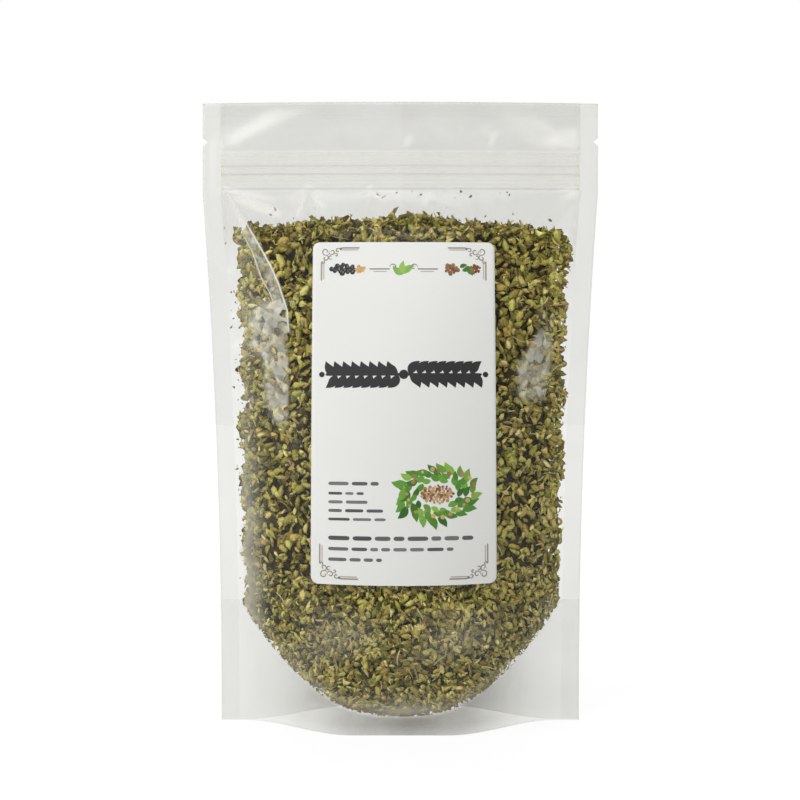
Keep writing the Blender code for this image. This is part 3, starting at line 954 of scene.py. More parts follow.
# Painted shade: the bed under the flakes is coloured far darker than leaf, for the shadow deep in the heap.
BED_PAINTED_SHADE_TONES = ((0.0, (0.035, 0.026, 0.008)), (1.0, (0.120, 0.096, 0.028)))
DUST_TONES = ((0.0, (0.16, 0.12, 0.05)), (1.0, (0.42, 0.37, 0.17)))
TAUPE = ((0.0, (0.20, 0.165, 0.130)), (1.0, (0.45, 0.40, 0.335)))
BLACK = ((0.0, (0.012, 0.012, 0.012)), (0.8, (0.030, 0.030, 0.032)), (1.0, (0.200, 0.190, 0.180)))
GREY = ((0.0, (0.070, 0.070, 0.073)), (1.0, (0.19, 0.19, 0.195)))
GREEN = ((0.0, (0.030, 0.120, 0.012)), (0.5, (0.090, 0.280, 0.030)), (1.0, (0.300, 0.520, 0.080)))
BROWN = ((0.0, (0.080, 0.030, 0.012)), (0.45, (0.350, 0.160, 0.050)), (0.8, (0.600, 0.390, 0.170)),
         (1.0, (0.700, 0.440, 0.060)))


def greys(*stops: tuple[float, float]) -> Stops:
    """Stops of plain grey from pairs of a place and a level."""
    return tuple((place, (level,) * 3) for place, level in stops)


def dress(piece: Piece, material: Material, slot: Slot, *nodes: str) -> None:
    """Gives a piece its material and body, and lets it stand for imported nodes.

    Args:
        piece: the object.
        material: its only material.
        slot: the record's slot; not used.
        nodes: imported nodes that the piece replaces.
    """
    piece.data.materials.append(material)
    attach(piece, BODY)
    if nodes:
        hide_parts(*nodes)
    log.info("%s: %d points, %d faces", piece.name, len(piece.data.vertices), len(piece.data.polygons))


@dataclass(frozen=True)
class HazeAndPaintedLightLevels:
    """How much a panel hides in each of its regions and at each of its marks, where 1 is solid.

    A name with low, foot or head is what is added there. The crease and seal line marks are painted
    highlights, and the right half's extra and the skirt marks are painted shade.
    """

    empty: float = 0.028
    head: float = 0.054
    mouth: float = 0.072
    under_zip: float = 0.058
    zip_less: float = 0.01
    foot: float = 0.012
    # Painted shade: extra dark haze on the right half.
    right: float = 0.016
    right_low: float = 0.014
    leaves: float = 0.006
    leaves_foot: float = 0.010
    seal: float = 0.066
    seal_head: float = 0.012
    top_seal: float = 0.008
    # Painted highlights: paler fold crests and thin pale seal lines.
    crease: float = 0.03
    seal_line: float = 0.08
    weld: float = 0.04
    skirt_top: float = 0.10
    cut_edge: float = 0.05
    # Painted shade below the weld, for the shadow in the hollow under the gusset.
    skirt_middle_shade: float = 0.58
    skirt_side_shade: float = 0.03
    blotch: float = 0.20
    left_rim: float = 0.42
    under: float = 0.20


@dataclass
class Films:
    """The two panels and the folded gusset between them."""

    form: PouchForm
    levels: HazeAndPaintedLightLevels = HazeAndPaintedLightLevels()
    thickness: float = 0.16 * MM
    front_grid: tuple[int, int] = (141, 224)
    back_grid: tuple[int, int] = (97, 150)
    gusset_columns: int = 91
    skirt_rows: int = 18
    dish_rows: int = 34
    seal_columns: int = 6
    notch_z: float = 190 * MM
    notch_deep: float = 1.6 * MM
    notch_tall: float = 1.3 * MM
    line_half: float = 0.22 * MM

    def columns(self, count: int) -> Array:
        """Places across the panel, as shares: 1 is the seal line and 2 the edge, and the left is negative.

        A pair of close columns on each seal line lets its thin bright line, a painted highlight, be drawn.

        Args:
            count: how many places lie between the seal lines.

        Returns:
            The places in order.
        """
        inside = np.linspace(-1, 1, count)
        close = self.line_half / self.form.seal_line(100 * MM)
        line = np.array([1 - close, 1 - close / 2])
        seal = 1 + np.linspace(0, 1, self.seal_columns + 1)[1:] ** 0.8
        seal = np.append([1 + self.line_half / self.form.side_seal], seal)
        right = np.concatenate([line, seal])
        return np.unique(np.concatenate([-right, inside, right]))

    def rows(self, count: int) -> Array:
        """Heights of the rows: even steps, with close ones at the notch and the top seal's line."""
        even = np.linspace(0, self.form.height, count)
        notch = self.notch_z + self.notch_tall * np.array([-1, -0.5, 0, 0.5, 1])
        line = self.form.top_seal_low + self.line_half * np.array([-1, 0, 1])
        return np.unique(np.concatenate([even, notch, line]).round(6))

    def place_x(self, place: Array, z: Array) -> Array:
        """X of each place: a share of the seal line inside it, and of the seal's width past it."""
        edge = self.form.half_width(z)
        edge = edge - self.notch_deep * np.clip(1 - np.abs(z - self.notch_z) / self.notch_tall, 0, 1)
        line = self.form.seal_line(z)
        beyond = np.clip(np.abs(place) - 1, 0, 1)
        return np.where(beyond > 0, np.sign(place) * (line + beyond * (edge - line)), place * line)

    def haze(self, x: Array, z: Array, place: Array, side: Side) -> tuple[Array, Array]:
        """Haze of a panel and how pale it is.

        There is least haze where the film lies on leaves, more in the empty head, and some in the seals.
        Folds and the inner edges of the seals are paler, painted highlights which at the folds also stand
        for film whitened in its creases, and the cut edges are darker. The right half gets painted shade,
        the skirt below the weld is darkened with painted shade, and pale bands of painted highlight lie
        over all.

        Args:
            x, z: places across and heights.
            place: the columns' shares, 1 at the seal line and 2 at the edge.
            side: which panel.

        Returns:
            The haze and the shade, both from 0 to 1.
        """
        form, level = self.form, self.levels
        left, right = form.heap_edges(z)
        leaves = 1 - past(z - form.heap_z(x), -1, 3)
        leaves *= past(z - form.heap_low(x), -1, 2)
        leaves *= past(x - left, -0.5, 1.5) * smooth((right + 0.5 * MM - x) / (1.5 * MM))
        high = past(z, 95, 60)
        mouth = past(z, 184, 4)
        zip_band = past(z, 173, 1.5) * (1 - past(z, 186, 1))
        foot = before(z, 50, 40)
        # Painted shade: the right half, more so low down, is made hazier and darker.
        on_right = (level.right + level.right_low * before(z, 130, 60)) * (x > 0)
        below = past(z, 150, 12) * (1 - zip_band - mouth)
        empty = level.empty + level.head * high + level.mouth * mouth + level.under_zip * below
        empty = empty - level.zip_less * zip_band + level.foot * foot + on_right
        seal = smooth((np.abs(place) - 1) / 0.05)
        haze = empty + (level.leaves + level.leaves_foot * foot - empty) * leaves
        haze += (level.seal + level.seal_head * high + on_right - haze) * seal
        haze += level.top_seal * past(z - form.top_seal_low, 0, 0.5)
        # Painted highlight: fold crests are made paler, partly standing for film whitened in its creases.
        crease = np.clip(sum(fold.crease(x, z) for fold in form.named_folds(side)), 0, 1) * (1 - leaves)
        # Painted highlight: a thin pale line along the seals' inner edges, high up, and under the top seal.
        line = bell(np.abs(place) - 1, 0.02) * past(z, 140, 20)
        line = line + 0.5 * bell(z - form.top_seal_low, self.line_half)
        edge_in = np.minimum((2 - np.abs(place)) * form.side_seal, form.height - z)
        above = z - form.weld_z(x)
        middle = before(np.abs(x), 42, 14)
        # Painted shade: dark haze on the skirt below the weld, strongest in the middle, for the shadow in
        # the hollow under the gusset.
        skirt = level.skirt_middle_shade * bell(x - 2 * MM, 27 * MM) + level.skirt_side_shade * middle
        skirt = skirt * before(above, 1.4, 1.2)
        blotch = 0.5 + 0.5 * np.sin(x / (6.1 * MM) + 1.7 * np.sin(z / (7 * MM)))
        blotch = blotch * (0.5 + 0.5 * np.sin(z / (4.7 * MM) + 1))
        rim = bell(x - left, 5.5 * MM)
        under = bell(z - form.heap_low(x), 6 * MM) * (1 - rim)
        parts = (
            (haze, 0.15),
            (level.crease * crease**1.5, 1.0),
            (level.seal_line * np.clip(line, 0, 1), 1.0),
            (level.weld * bell(above, 0.5 * MM) * (np.abs(place) < 1), 0.8),
            (level.skirt_top * bell(above - 2.6 * MM, 1.5 * MM) * middle, 0.8),
            (level.cut_edge * bell(edge_in, 0.35 * MM), 0.0),
            (skirt * (0.55 + 0.45 * past(z, 0, 4)), 0.0),
            (level.blotch * blotch * before(z, 50, 26) * leaves, 0.6),
            (level.left_rim * rim * leaves * (0.35 + 0.65 * before(z, 110, 60)), 0.8),
            (level.under * under * leaves * (0.25 + 0.75 * blotch) * (0.6 + 0.4 * before(x, 0, 20)), 0.8),
        )
        total = sum(amount for amount, _ in parts)
        shade = sum(amount * level for amount, level in parts) / total
        # Painted highlights: the pale bands are laid over all of the haze.
        for band in form.named_painted_highlights(side):
            share = band.share(x, z)
            total = total + (band.strength - total) * share
            shade = shade + (1 - shade) * share
        return total, shade

    def panel(self, name: str, side: Side) -> Piece:
        """One panel: the form's reach with its folds and ripples, as a thin closed sheet.

        Args:
            name: the piece's name.
            side: which panel.

        Returns:
            The panel.
        """
        form = self.form
        columns, rows = self.front_grid if side is Side.FRONT else self.back_grid
        place, z = np.meshgrid(self.columns(columns), self.rows(rows))
        x = self.place_x(place, z)
        free = LabelSheet(form).free_of_label(x, z) if side is Side.FRONT else np.ones_like(x)
        out = (form.folds(x, z, side) + form.ripple(x, z, side)) * free
        out = out * past(z, 0, 4)
        outer, inner = (stacked(x, side.value * (form.reach(x, z) + out + half) - form.bow(x, z), z)
                        for half in (self.thickness / 2, -self.thickness / 2))
        haze, shade = self.haze(x, z, place, side)
        # How unevenly the painted highlights hide.
        crumple = sum(band.crumple * band.share(x, z) for band in form.named_painted_highlights(side))
        return sheet_piece(name, outer, inner, side is Side.BACK, haze=haze, shade=shade, crumple=crumple)

    def gusset_grid(self, out: float) -> Array:
        """One face of the gusset, moved out by a distance.

        Each column goes up the front skirt to the weld line, over the dish, whose height is the weld's
        plus a cosine ridge with slight creases, and down the back skirt.

        Args:
            out: how far the face lies from the film's middle.

        Returns:
            Points, rows by columns by 3.
        """
        form = self.form
        skirt = np.linspace(0, 1, self.skirt_rows)
        across = np.linspace(-1, 1, self.dish_rows)[1:-1]
        place = self.columns(self.gusset_columns)
        x_fold = self.place_x(place, np.full_like(place, form.fold_z))
        top = form.weld_z(x_fold)
        z_skirt = skirt[:, None] * (top + out)[None]
        x_skirt = self.place_x(np.broadcast_to(place, z_skirt.shape), z_skirt)
        side = form.reach(x_skirt, z_skirt) - form.pitch + out
        x_top = self.place_x(place, top)
        crease = 0.5 * MM * np.sin(x_top / (5 * MM)) * smooth((0.9 - np.abs(place)) / 0.3)
        ridge = form.ridge * form.bulge(x_top, top) * (0.5 + 0.5 * np.cos(math.pi * across))[:, None]
        ridge = ridge + crease * (np.cos(math.pi * across / 2) ** 2)[:, None]
        z_dish = top + out + ridge
        y_dish = across[:, None] * side[-1]
        x_dish = np.broadcast_to(x_top, y_dish.shape)
        front = stacked(x_skirt, -side, z_skirt)
        back = stacked(x_skirt, side, z_skirt)[::-1]
        return np.concatenate([front, stacked(x_dish, y_dish, z_dish), back])

    def gusset(self) -> Piece:
        """The gusset as a thin closed sheet, a little hazy, and darker in the middle of its skirts, where
        painted shade stands for the shadow in the hollow under it.
        """
        outer = self.gusset_grid(self.thickness / 2)
        inner = self.gusset_grid(-self.thickness / 2)
        skirt = past(self.form.weld_z(outer[..., 0]) - outer[..., 2], -1, 2)
        # Painted shade: the middle of the skirts is hazier and darker, for the shadow in the hollow under
        # the gusset.
        haze = 0.02 + 0.34 * skirt * bell(outer[..., 0] - 2 * MM, 22 * MM)
        return sheet_piece("gusset_film", outer, inner, False, haze=haze, shade=0.6 - 0.6 * skirt)

    def edge(self, name: str, path: Sequence[tuple[float, float]], half: float, haze: float) -> Piece:
        """The pressed edge of a fold: a slim raised ribbon of film on the front panel, whose pale haze is a
        painted highlight along the edge.

        Args:
            name: the piece's name.
            path: heights and places across, in millimetres, from below.
            half: half its width at the middle, from which it tapers to both ends.
            haze: how much it hides, as pale haze that paints the highlight.

        Returns:
            The ribbon as a closed sheet.
        """
        form = self.form
        knots = np.array(path) * MM
        z_line = np.linspace(knots[0, 0], knots[-1, 0], 70)
        t = np.linspace(0, 1, 70)
        across = np.linspace(-1, 1, 7)
        x_line = np.interp(z_line, knots[:, 0], knots[:, 1])
        wide = half * np.sin(math.pi * np.clip(t * 0.96 + 0.02, 0, 1)) ** 0.4
        x = x_line[:, None] + wide[:, None] * across[None]
        z = np.broadcast_to(z_line[:, None], x.shape)
        out = form.reach(x, z) + form.folds(x, z, Side.FRONT) + form.ripple(x, z, Side.FRONT)
        out = out + self.thickness / 2
        arch = 0.07 * MM * (1 - across**2)[None]
        outer, inner = (stacked(x, -(out + lift) - form.bow(x, z), z)
                        for lift in (0.05 * MM + arch, 0.02 * MM))
        level = np.broadcast_to(haze * (1 - 0.75 * np.abs(across) ** 2)[None], x.shape)
        return sheet_piece(name, outer, inner, False, haze=level, shade=np.ones_like(x),
                           crumple=np.zeros_like(x))

    def build(self) -> None:
        """Builds and dresses the three films, and the two pressed edges of the pleat with their painted
        highlight.
        """
        clear = FilmFinish("film_clear").build()
        welded = FilmFinish("film_gusset", tint=(0.990, 0.990, 0.985), ior=1.2).build()
        dress(self.panel("front_panel_film", Side.FRONT), clear, Slot.FILM, "front_film")
        dress(self.panel("back_panel_film", Side.BACK), clear, Slot.FILM, "back_film")
        dress(self.gusset(), welded, Slot.FILM, "bottom_gusset")
        # The pleat's edges: raised ribbons whose pale haze is a painted highlight.
        crisp = FilmFinish("film_edge_highlight", ior=1.2, grain=0.0).build()
        for name, path, half, haze in (("pleat_edge_highlight", PLEAT_EDGE, 0.45 * MM, 0.72),
                                       ("pleat_back_edge_highlight", PLEAT_BACK_EDGE, 0.40 * MM, 0.55)):
            dress(self.edge(name, path, half, haze), crisp, Slot.FILM, "front_film")


@dataclass
class ZipStrips:
    """The press-to-close zip: a ribbed strip on each panel, crushed where the side seals grip it, with
    painted highlight lines on its ridges and painted shade in its grooves.
    """

    form: PouchForm
    lock_half: float = 0.8 * MM
    band: float = 0.22 * MM
    lock_z: float = 179.7 * MM
    male_half: float = 0.45 * MM
    jaw: float = 0.8 * MM
    play: float = 0.3 * MM
    ridge_z: tuple[float, ...] = (175.8 * MM, 177.2 * MM, 183.2 * MM, 185.5 * MM)
    ridge_high: float = 0.20 * MM
    lock_deep: float = 0.75 * MM
    # Heights and levels of painted highlight lines on the ridges, then heights of painted shade lines in
    # the grooves.
    highlight_z: tuple[float, ...] = (175.8 * MM, 177.2 * MM, 178.5 * MM, 181.0 * MM, 183.2 * MM, 185.6 * MM)
    bright: tuple[float, ...] = (0.4, 0.35, 0.8, 1.1, 0.9, 1.0)
    groove_shade_z: tuple[float, ...] = (174.5 * MM, 179.2 * MM, 181.9 * MM)

    def profile(self, side: Side) -> tuple[Array, Array]:
        """A strip's section: heights, and how far its inner face stands in from the band.

        The front strip has two rounded jaws, the back strip one rib between them, and both have low
        round guide ridges above and below.

        Args:
            side: which strip.

        Returns:
            The heights and the distances.
        """
        low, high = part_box("zip_strip_front")
        z = np.linspace(low.z, high.z, 121)
        away = np.abs(z - self.lock_z)
        if side is Side.FRONT:
            middle = self.male_half + self.play + self.jaw / 2
            lock = past(self.jaw / 2 + 0.15 * MM - np.abs(away - middle), 0, 0.3)
        else:
            lock = past(self.male_half + 0.15 * MM - away, 0, 0.3)
        ridges = sum(bell(z - at, 0.34 * MM) for at in self.ridge_z)
        return z, self.lock_deep * lock + self.ridge_high * ridges * (1 - lock)

    def strip(self, name: str, side: Side) -> Piece:
        """One strip, its section carried along the curve of the mouth and squeezed at both ends.

        Args:
            name: the piece's name.
            side: which strip.

        Returns:
            The strip.
        """
        z, inward = self.profile(side)
        half = self.form.seal_line(self.lock_z)
        x = np.sin(np.linspace(-math.pi / 2, math.pi / 2, 61)) * half
        x_grid, z_grid = np.meshgrid(x, z)
        crush = past(half - np.abs(x_grid), 0, 2.2)
        rough = 0.12 * MM * np.sin(x_grid / (0.35 * MM)) * np.sin(z_grid / (0.6 * MM)) * (1 - crush)
        face = self.lock_half - inward[:, None] * (0.25 + 0.75 * crush) + rough
        bow = self.form.bow(x_grid, z_grid)
        outer = stacked(x_grid, side.value * (self.lock_half + self.band) - bow, z_grid)
        inner = stacked(x_grid, side.value * face - bow, z_grid)
        # Painted highlights along the ridges and painted shade along the grooves, drawn as pale and dark
        # haze.
        pale = sum(level * bell(z_grid - at, 0.40 * MM) for level, at in zip(self.bright, self.highlight_z))
        dark = sum(bell(z_grid - at, 0.30 * MM) for at in self.groove_shade_z)
        haze = 0.04 + 0.17 * pale + 0.07 * dark + 0.08 * (1 - crush)
        shade = np.clip(0.7 + 0.5 * pale - 0.7 * dark + 0.3 * (1 - crush), 0, 1)
        return sheet_piece(name, outer, inner, side is Side.BACK, haze=haze, shade=shade)

    def build(self) -> None:
        """Builds and dresses both strips."""
        finish = FilmFinish("film_zip", tint=(0.988, 0.988, 0.982), ior=1.18, grain=0.0).build()
        dress(self.strip("zip_jaws", Side.FRONT), finish, Slot.ZIP, "zip_strip_front")
        dress(self.strip("zip_rib", Side.BACK), finish, Slot.ZIP, "zip_strip_back")


@dataclass
class Scatter:
    """Where a batch of small pieces lies: centres, the way each faces, its size and its tilt."""

    centres: Array
    normals: Array
    sizes: Array
    tilts: Array

    def turned(self, local: Array, draw: Draw) -> Array:
        """Local shapes turned to face their normals, spun at random, tipped and moved to their centres.

        Args:
            local: pieces by points by 3, with Z as the facing direction.
            draw: the seeded source of the spins.

        Returns:
            The points in place.
        """
        normal = unit(self.normals)
        steep = np.abs(normal[:, 2:3]) > 0.9
        helper = np.where(steep, np.array([1.0, 0, 0]), np.array([0, 0, 1.0]))
        first = unit(np.cross(helper, normal))
        second = np.cross(normal, first)
        spin = draw.uniform(0, 2 * math.pi, len(normal))[:, None]
        along = np.cos(spin) * first + np.sin(spin) * second
        aside = np.cross(normal, along)
        tip = self.tilts[:, None]
        length = np.cos(tip) * along + np.sin(tip) * normal
        facing = np.cross(length, aside)
        roll = (draw.normal(0, 0.6, len(normal)) * self.tilts)[:, None]
        across = np.cos(roll) * aside + np.sin(roll) * facing
        facing = np.cross(length, across)
        axes = np.stack([length, across, facing], axis=1)
        return np.einsum("nij,njk->nik", local, axes) + self.centres[:, None]

    @staticmethod
    def joined(parts: Sequence["Scatter"]) -> "Scatter":
        """Several batches as one."""
        columns = zip(*((part.centres, part.normals, part.sizes, part.tilts) for part in parts))
        return Scatter(*(np.concatenate(column) for column in columns))


def even_points(count: int, start: int = 0) -> Array:
    """Points spread evenly over a unit square: steps of two fixed irrational shares, taken modulo 1."""
    steps = np.arange(start + 1, start + count + 1)[:, None]
    return np.mod(steps * np.array([0.7548776662, 0.5698402909]), 1.0)


def repeated(one: Faces, each: int, count: int) -> Faces:
    """The faces of many like shapes, from one shape's faces and its number of points."""
    return (one[None] + each * np.arange(count)[:, None, None]).reshape(-1, one.shape[1])


FLAKE_ROWS, FLAKE_COLUMNS = 5, 3
FLAKE_TOP = FLAKE_ROWS * FLAKE_COLUMNS
RIB = (4, 7, 10)
UNDER_RIB = (15, 16, 17)
STEM_RINGS = 4
STEM_SIDES = 4
STEM_POINTS = STEM_RINGS * STEM_SIDES


@dataclass
class LeafHeap:
    """The rubbed leaves: a bed coloured dark as painted shade deep in the heap, under layers of curled
    flakes, with stems, crumbs and dust.
    """

    form: PouchForm
    seed: int = 11
    flake_long: float = 3.75 * MM
    flake_thin: float = 0.16 * MM
    clear: float = 0.35 * MM
    bed_sink: float = 3.4 * MM
    layers: tuple[tuple[float, float, int], ...] = ((0.3, 0.30, 1500), (1.1, 0.55, 2100), (2.1, 0.80, 2200))
    back_share: float = 0.86
    top_count: int = 1000
    foot_count: int = 900
    stem_count: int = 380
    top_stem_count: int = 60
    dust_counts: tuple[int, int, int, int] = (90, 300, 30, 12)
    dust_high: float = 173.5 * MM

    def __post_init__(self) -> None:
        """Starts the seeded source of chance that the methods share."""
        self.draw = np.random.default_rng(self.seed)

    def inner_reach(self, x: Array, z: Array) -> Array:
        """How far leaves may stand out from the middle plane towards a panel."""
        return self.form.reach(x, z) - self.clear

    def on_panel(self, side: Side, number: int) -> Scatter:
        """One layer of flakes over one panel's inside.

        The layer is an even spread that is jittered. Sizes fall towards the foot, where fine leaf
        settles. The foot, both side rims and the U-shaped rim take an extra spread to stay covered.

        Args:
            side: which panel.
            number: which of the layers, from those pressed flat to those tipped behind them.

        Returns:
            The flakes' places.
        """
        form, draw = self.form, self.draw
        depth, tilt, count = self.layers[number]
        count = count if side is Side.FRONT else int(self.back_share * count)
        spread = even_points(count, 1000 * number + 50 * side.value + 100)
        low_spread = even_points(count // 2, 7000 + 900 * number) * (1, 0.30)
        rims = even_points(count // 8, 400 * number)
        rims[:, 0] = np.where(rims[:, 0] < 0.5, 0.12 * rims[:, 0], 1.12 - 0.12 * (2 - rims[:, 0]))
        place = np.concatenate([spread, low_spread, rims])
        z = (place[:, 1] * 1.04 - 0.01) * form.heap_top + draw.normal(0, 0.6 * MM, len(place))
        left, right = form.heap_edges(z)
        x = left + place[:, 0] * (right - left) + draw.normal(0, 0.5 * MM, len(place))
        foot_x = draw.uniform(-49, 50, count // 13) * MM
        foot_z = form.heap_low(foot_x) + draw.uniform(0.1, 3.5, count // 13) * MM
        x, z = np.concatenate([x, foot_x]), np.concatenate([z, foot_z])
        keep = form.in_heap(x, z)
        x, z = x[keep], z[keep]
        room = np.minimum(1, form.bulge(x, z) / (5 * MM))
        sink = (depth + draw.uniform(-0.25, 0.5, len(x))) * MM * room
        y = side.value * (self.inner_reach(x, z) - sink) - form.bow(x, z)
        settled = 0.70 + 0.22 * past(z, 22, 46) + 0.10 * past(z, 95, 40)
        sizes = settled * np.clip(draw.lognormal(0, 0.22, len(x)), 0.6, 1.4) * (0.75 + 0.25 * room)
        tilts = draw.normal(0, tilt, len(x)) * room
        return Scatter(stacked(x, y, z), form.panel_normal(x, z, side), sizes, tilts)

    def on_top(self) -> Scatter:
        """Flakes over the heap's open top, lying at all angles.

        Returns:
            The flakes' places.
        """
        form, draw = self.form, self.draw
        place = even_points(self.top_count, 300)
        left, right = form.heap_edges(form.heap_z(0 * place[:, 0]))
        x = left + 4 * MM + place[:, 0] * (right - left - 7 * MM)
        level = form.heap_z(x)
        y = (2 * place[:, 1] - 1) * self.inner_reach(x, level) - form.bow(x, level)
        z = level - draw.uniform(-0.5, 2.0, len(x)) * MM
        slopes = [0.1 * draw.normal(size=len(x)) for _ in range(2)]
        normals = unit(stacked(*slopes, np.ones(len(x))))
        sizes = 1.2 * draw.lognormal(0, 0.22, len(x))
        return Scatter(stacked(x, y, z), normals, sizes, draw.normal(0, 0.9, len(x)))

    def on_foot(self) -> Scatter:
        """Fine flakes that lie on the gusset, seen from below through it.

        Returns:
            The flakes' places.
        """
        form, draw = self.form, self.draw
        place = even_points(self.foot_count, 5000)
        x = (2 * place[:, 0] - 1) * 51 * MM
        low = form.weld_z(x)
        y = (2 * place[:, 1] - 1) * (form.reach(x, low) - form.pitch - 0.8 * MM)
        z = form.dish_z(x, y) + 0.9 * MM + draw.uniform(0, 1.6, len(x)) * MM
        down = np.tile(np.array([0.0, 0.0, -1.0]), (len(x), 1))
        sizes = 0.7 * draw.lognormal(0, 0.2, len(x))
        return Scatter(stacked(x, y, z), down, sizes, draw.normal(0, 0.3, len(x)))

    def flake_shapes(self, sizes: Array) -> Array:
        """Leaf bits as a 5 by 3 grid of points, with three more under the rib to give them body.

        Along the bit the half-width swells and narrows like a leaf's, each edge point is drawn in or out
        as a torn edge is, the sides fold up or down from the rib, and the whole curls along its length.

        Args:
            sizes: each bit's size, where 1 is the usual one.

        Returns:
            Bits by points by 3, each about its own middle.
        """
        draw = self.draw
        count = len(sizes)
        grid = (count, FLAKE_ROWS, FLAKE_COLUMNS)
        s = np.linspace(-1, 1, FLAKE_ROWS)[None, :, None]
        t = np.linspace(-1, 1, FLAKE_COLUMNS)[None, None, :]
        long = (self.flake_long / 2 * sizes * draw.uniform(0.75, 1.2, count))[:, None, None]
        slim = draw.uniform(0.36, 0.68, count)[:, None, None]
        blunt = draw.uniform(0.06, 0.62, count)[:, None, None] ** 1.3
        power = draw.uniform(1.5, 3.4, count)[:, None, None]
        lean = draw.uniform(-0.4, 0.4, count)[:, None, None]
        swell = blunt + (1 - blunt) * (1 - np.abs(s - lean * (1 - s * s)) ** power) ** 0.8
        torn = 1 + 0.16 * draw.uniform(-1, 1, grid)
        x = long * (s + 0.09 * draw.uniform(-1, 1, grid))
        y = long * slim * swell * t * torn
        fold = draw.normal(-0.25, 0.5, count)[:, None, None]
        curl = draw.normal(-0.15, 0.3, count)[:, None, None]
        twist = draw.normal(0.0, 0.3, count)[:, None, None]
        z = long * slim * fold * np.abs(t) * swell + long * curl * (s * s - 0.4)
        z = z + long * twist * s * t * slim
        z = z + long * 0.05 * draw.uniform(-1, 1, grid)
        top = stacked(x, y, z).reshape(count, FLAKE_TOP, 3)
        under = top[:, RIB] - np.array([0, 0, self.flake_thin])
        return np.concatenate([top, under], axis=1)

    @staticmethod
    def flake_faces() -> Faces:
        """Quads of one flake: the upper grid, and the lower one, which shares its edge points."""
        upper = grid_quads(FLAKE_ROWS, FLAKE_COLUMNS)
        below = np.arange(FLAKE_TOP)
        below[list(RIB)] = UNDER_RIB
        return np.concatenate([upper, below[upper][:, ::-1]])

    def held_in(self, points: Array) -> Array:
        """Each bit moved in as a whole until no point of it passes a panel or the gusset.

        Args:
            points: bits by points by 3, which are changed.

        Returns:
            The same points.
        """
        form = self.form
        rows = np.arange(len(points))
        for _ in range(2):
            x, z = points[..., 0], points[..., 2]
            y = points[..., 1] + form.bow(x, z)
            over = np.abs(y) - np.maximum(self.inner_reach(x, z), 0.1 * MM)
            worst = np.argmax(over, axis=1)
            points[..., 1] -= (np.sign(y[rows, worst]) * np.maximum(over[rows, worst], 0))[:, None]
            floor = form.dish_z(points[..., 0], points[..., 1]) + 0.45 * MM
            points[..., 2] += np.maximum((floor - points[..., 2]).max(axis=1), 0)[:, None]
        return points

    def batch(self, name: str, scatter: Scatter, finish: Material) -> None:
        """One mesh of many flakes, each with its own tone, darker along its rib and paler at its edges.

        Args:
            name: the piece's name.
            scatter: where the flakes lie.
            finish: their material.
        """
        draw = self.draw
        shapes = self.flake_shapes(scatter.sizes)
        points = self.held_in(scatter.turned(shapes, draw))
        count, each = points.shape[:2]
        faces = repeated(self.flake_faces(), each, count)
        tone = np.clip(draw.beta(2.0, 1.9, count) * 0.92, 0, 1)
        tone = np.where(draw.random(count) < 0.05, 0.97, tone)
        rim = np.where(np.isin(np.arange(each), RIB + UNDER_RIB), -0.08, 0.07)
        tone = (tone[:, None] + rim[None]).ravel() + draw.normal(0, 0.03, count * each)
        cast = np.repeat(draw.beta(1.5, 1.5, count), each)
        piece = mesh_piece(name, points.reshape(-1, 3), faces, True, tone=np.clip(tone, 0, 1), cast=cast)
        dress(piece, finish, Slot.LEAF, "marjoram_fill")

    def stick_rings(self, scatter: Scatter) -> Array:
        """Broken stems as four rings of four points each, a little bent, thinner at the ends.

        Args:
            scatter: where the stems lie.

        Returns:
            Stems by rings by points by 3, each about its own middle.
        """
        draw = self.draw
        count = len(scatter.sizes)
        s = np.linspace(-1, 1, STEM_RINGS)[None, :, None]
        turn = np.arange(STEM_SIDES)[None, None, :] * math.pi / 2
        long = (draw.uniform(1.3, 3.2, count) * MM)[:, None, None] * scatter.sizes[:, None, None]
        thick = (draw.uniform(0.15, 0.30, count) * MM)[:, None, None] * (1 - 0.25 * s * s)
        bend = (draw.normal(0, 0.35, count) * MM)[:, None, None] * (s * s - 0.5)
        zero = np.zeros((count, STEM_RINGS, STEM_SIDES))
        return stacked(long * s + zero, thick * np.cos(turn) + bend, thick * np.sin(turn) + zero)

    def sticks(self, name: str, scatter: Scatter, finish: Material) -> None:
        """One mesh of many straw-coloured stem bits.

        Args:
            name: the piece's name.
            scatter: where the stems lie.
            finish: their material.
        """
        shapes = self.stick_rings(scatter)
        count = len(shapes)
        points = self.held_in(scatter.turned(shapes.reshape(count, STEM_POINTS, 3), self.draw))
        index = np.arange(STEM_POINTS).reshape(STEM_RINGS, STEM_SIDES)
        turn = np.roll(index, -1, axis=1)
        sides = np.stack([index[:-1], turn[:-1], turn[1:], index[1:]], axis=-1).reshape(-1, 4)
        one = np.concatenate([sides, index[0, ::-1][None], index[-1][None]])
        faces = repeated(one, STEM_POINTS, count)
        tone = np.repeat(self.draw.random(count), STEM_POINTS)
        cast = np.repeat(0.5 + 0.3 * self.draw.random(count), STEM_POINTS)
        piece = mesh_piece(name, points.reshape(-1, 3), faces, True, tone=tone, cast=cast)
        dress(piece, finish, Slot.LEAF, "marjoram_fill")

    def some_of(self, scatter: Scatter, count: int, size: float) -> Scatter:
        """A draw of places from a scatter, for pieces of another size."""
        pick = self.draw.choice(len(scatter.sizes), count, replace=False)
        sizes = np.full(count, size)
        return Scatter(scatter.centres[pick], scatter.normals[pick], sizes, scatter.tilts[pick])

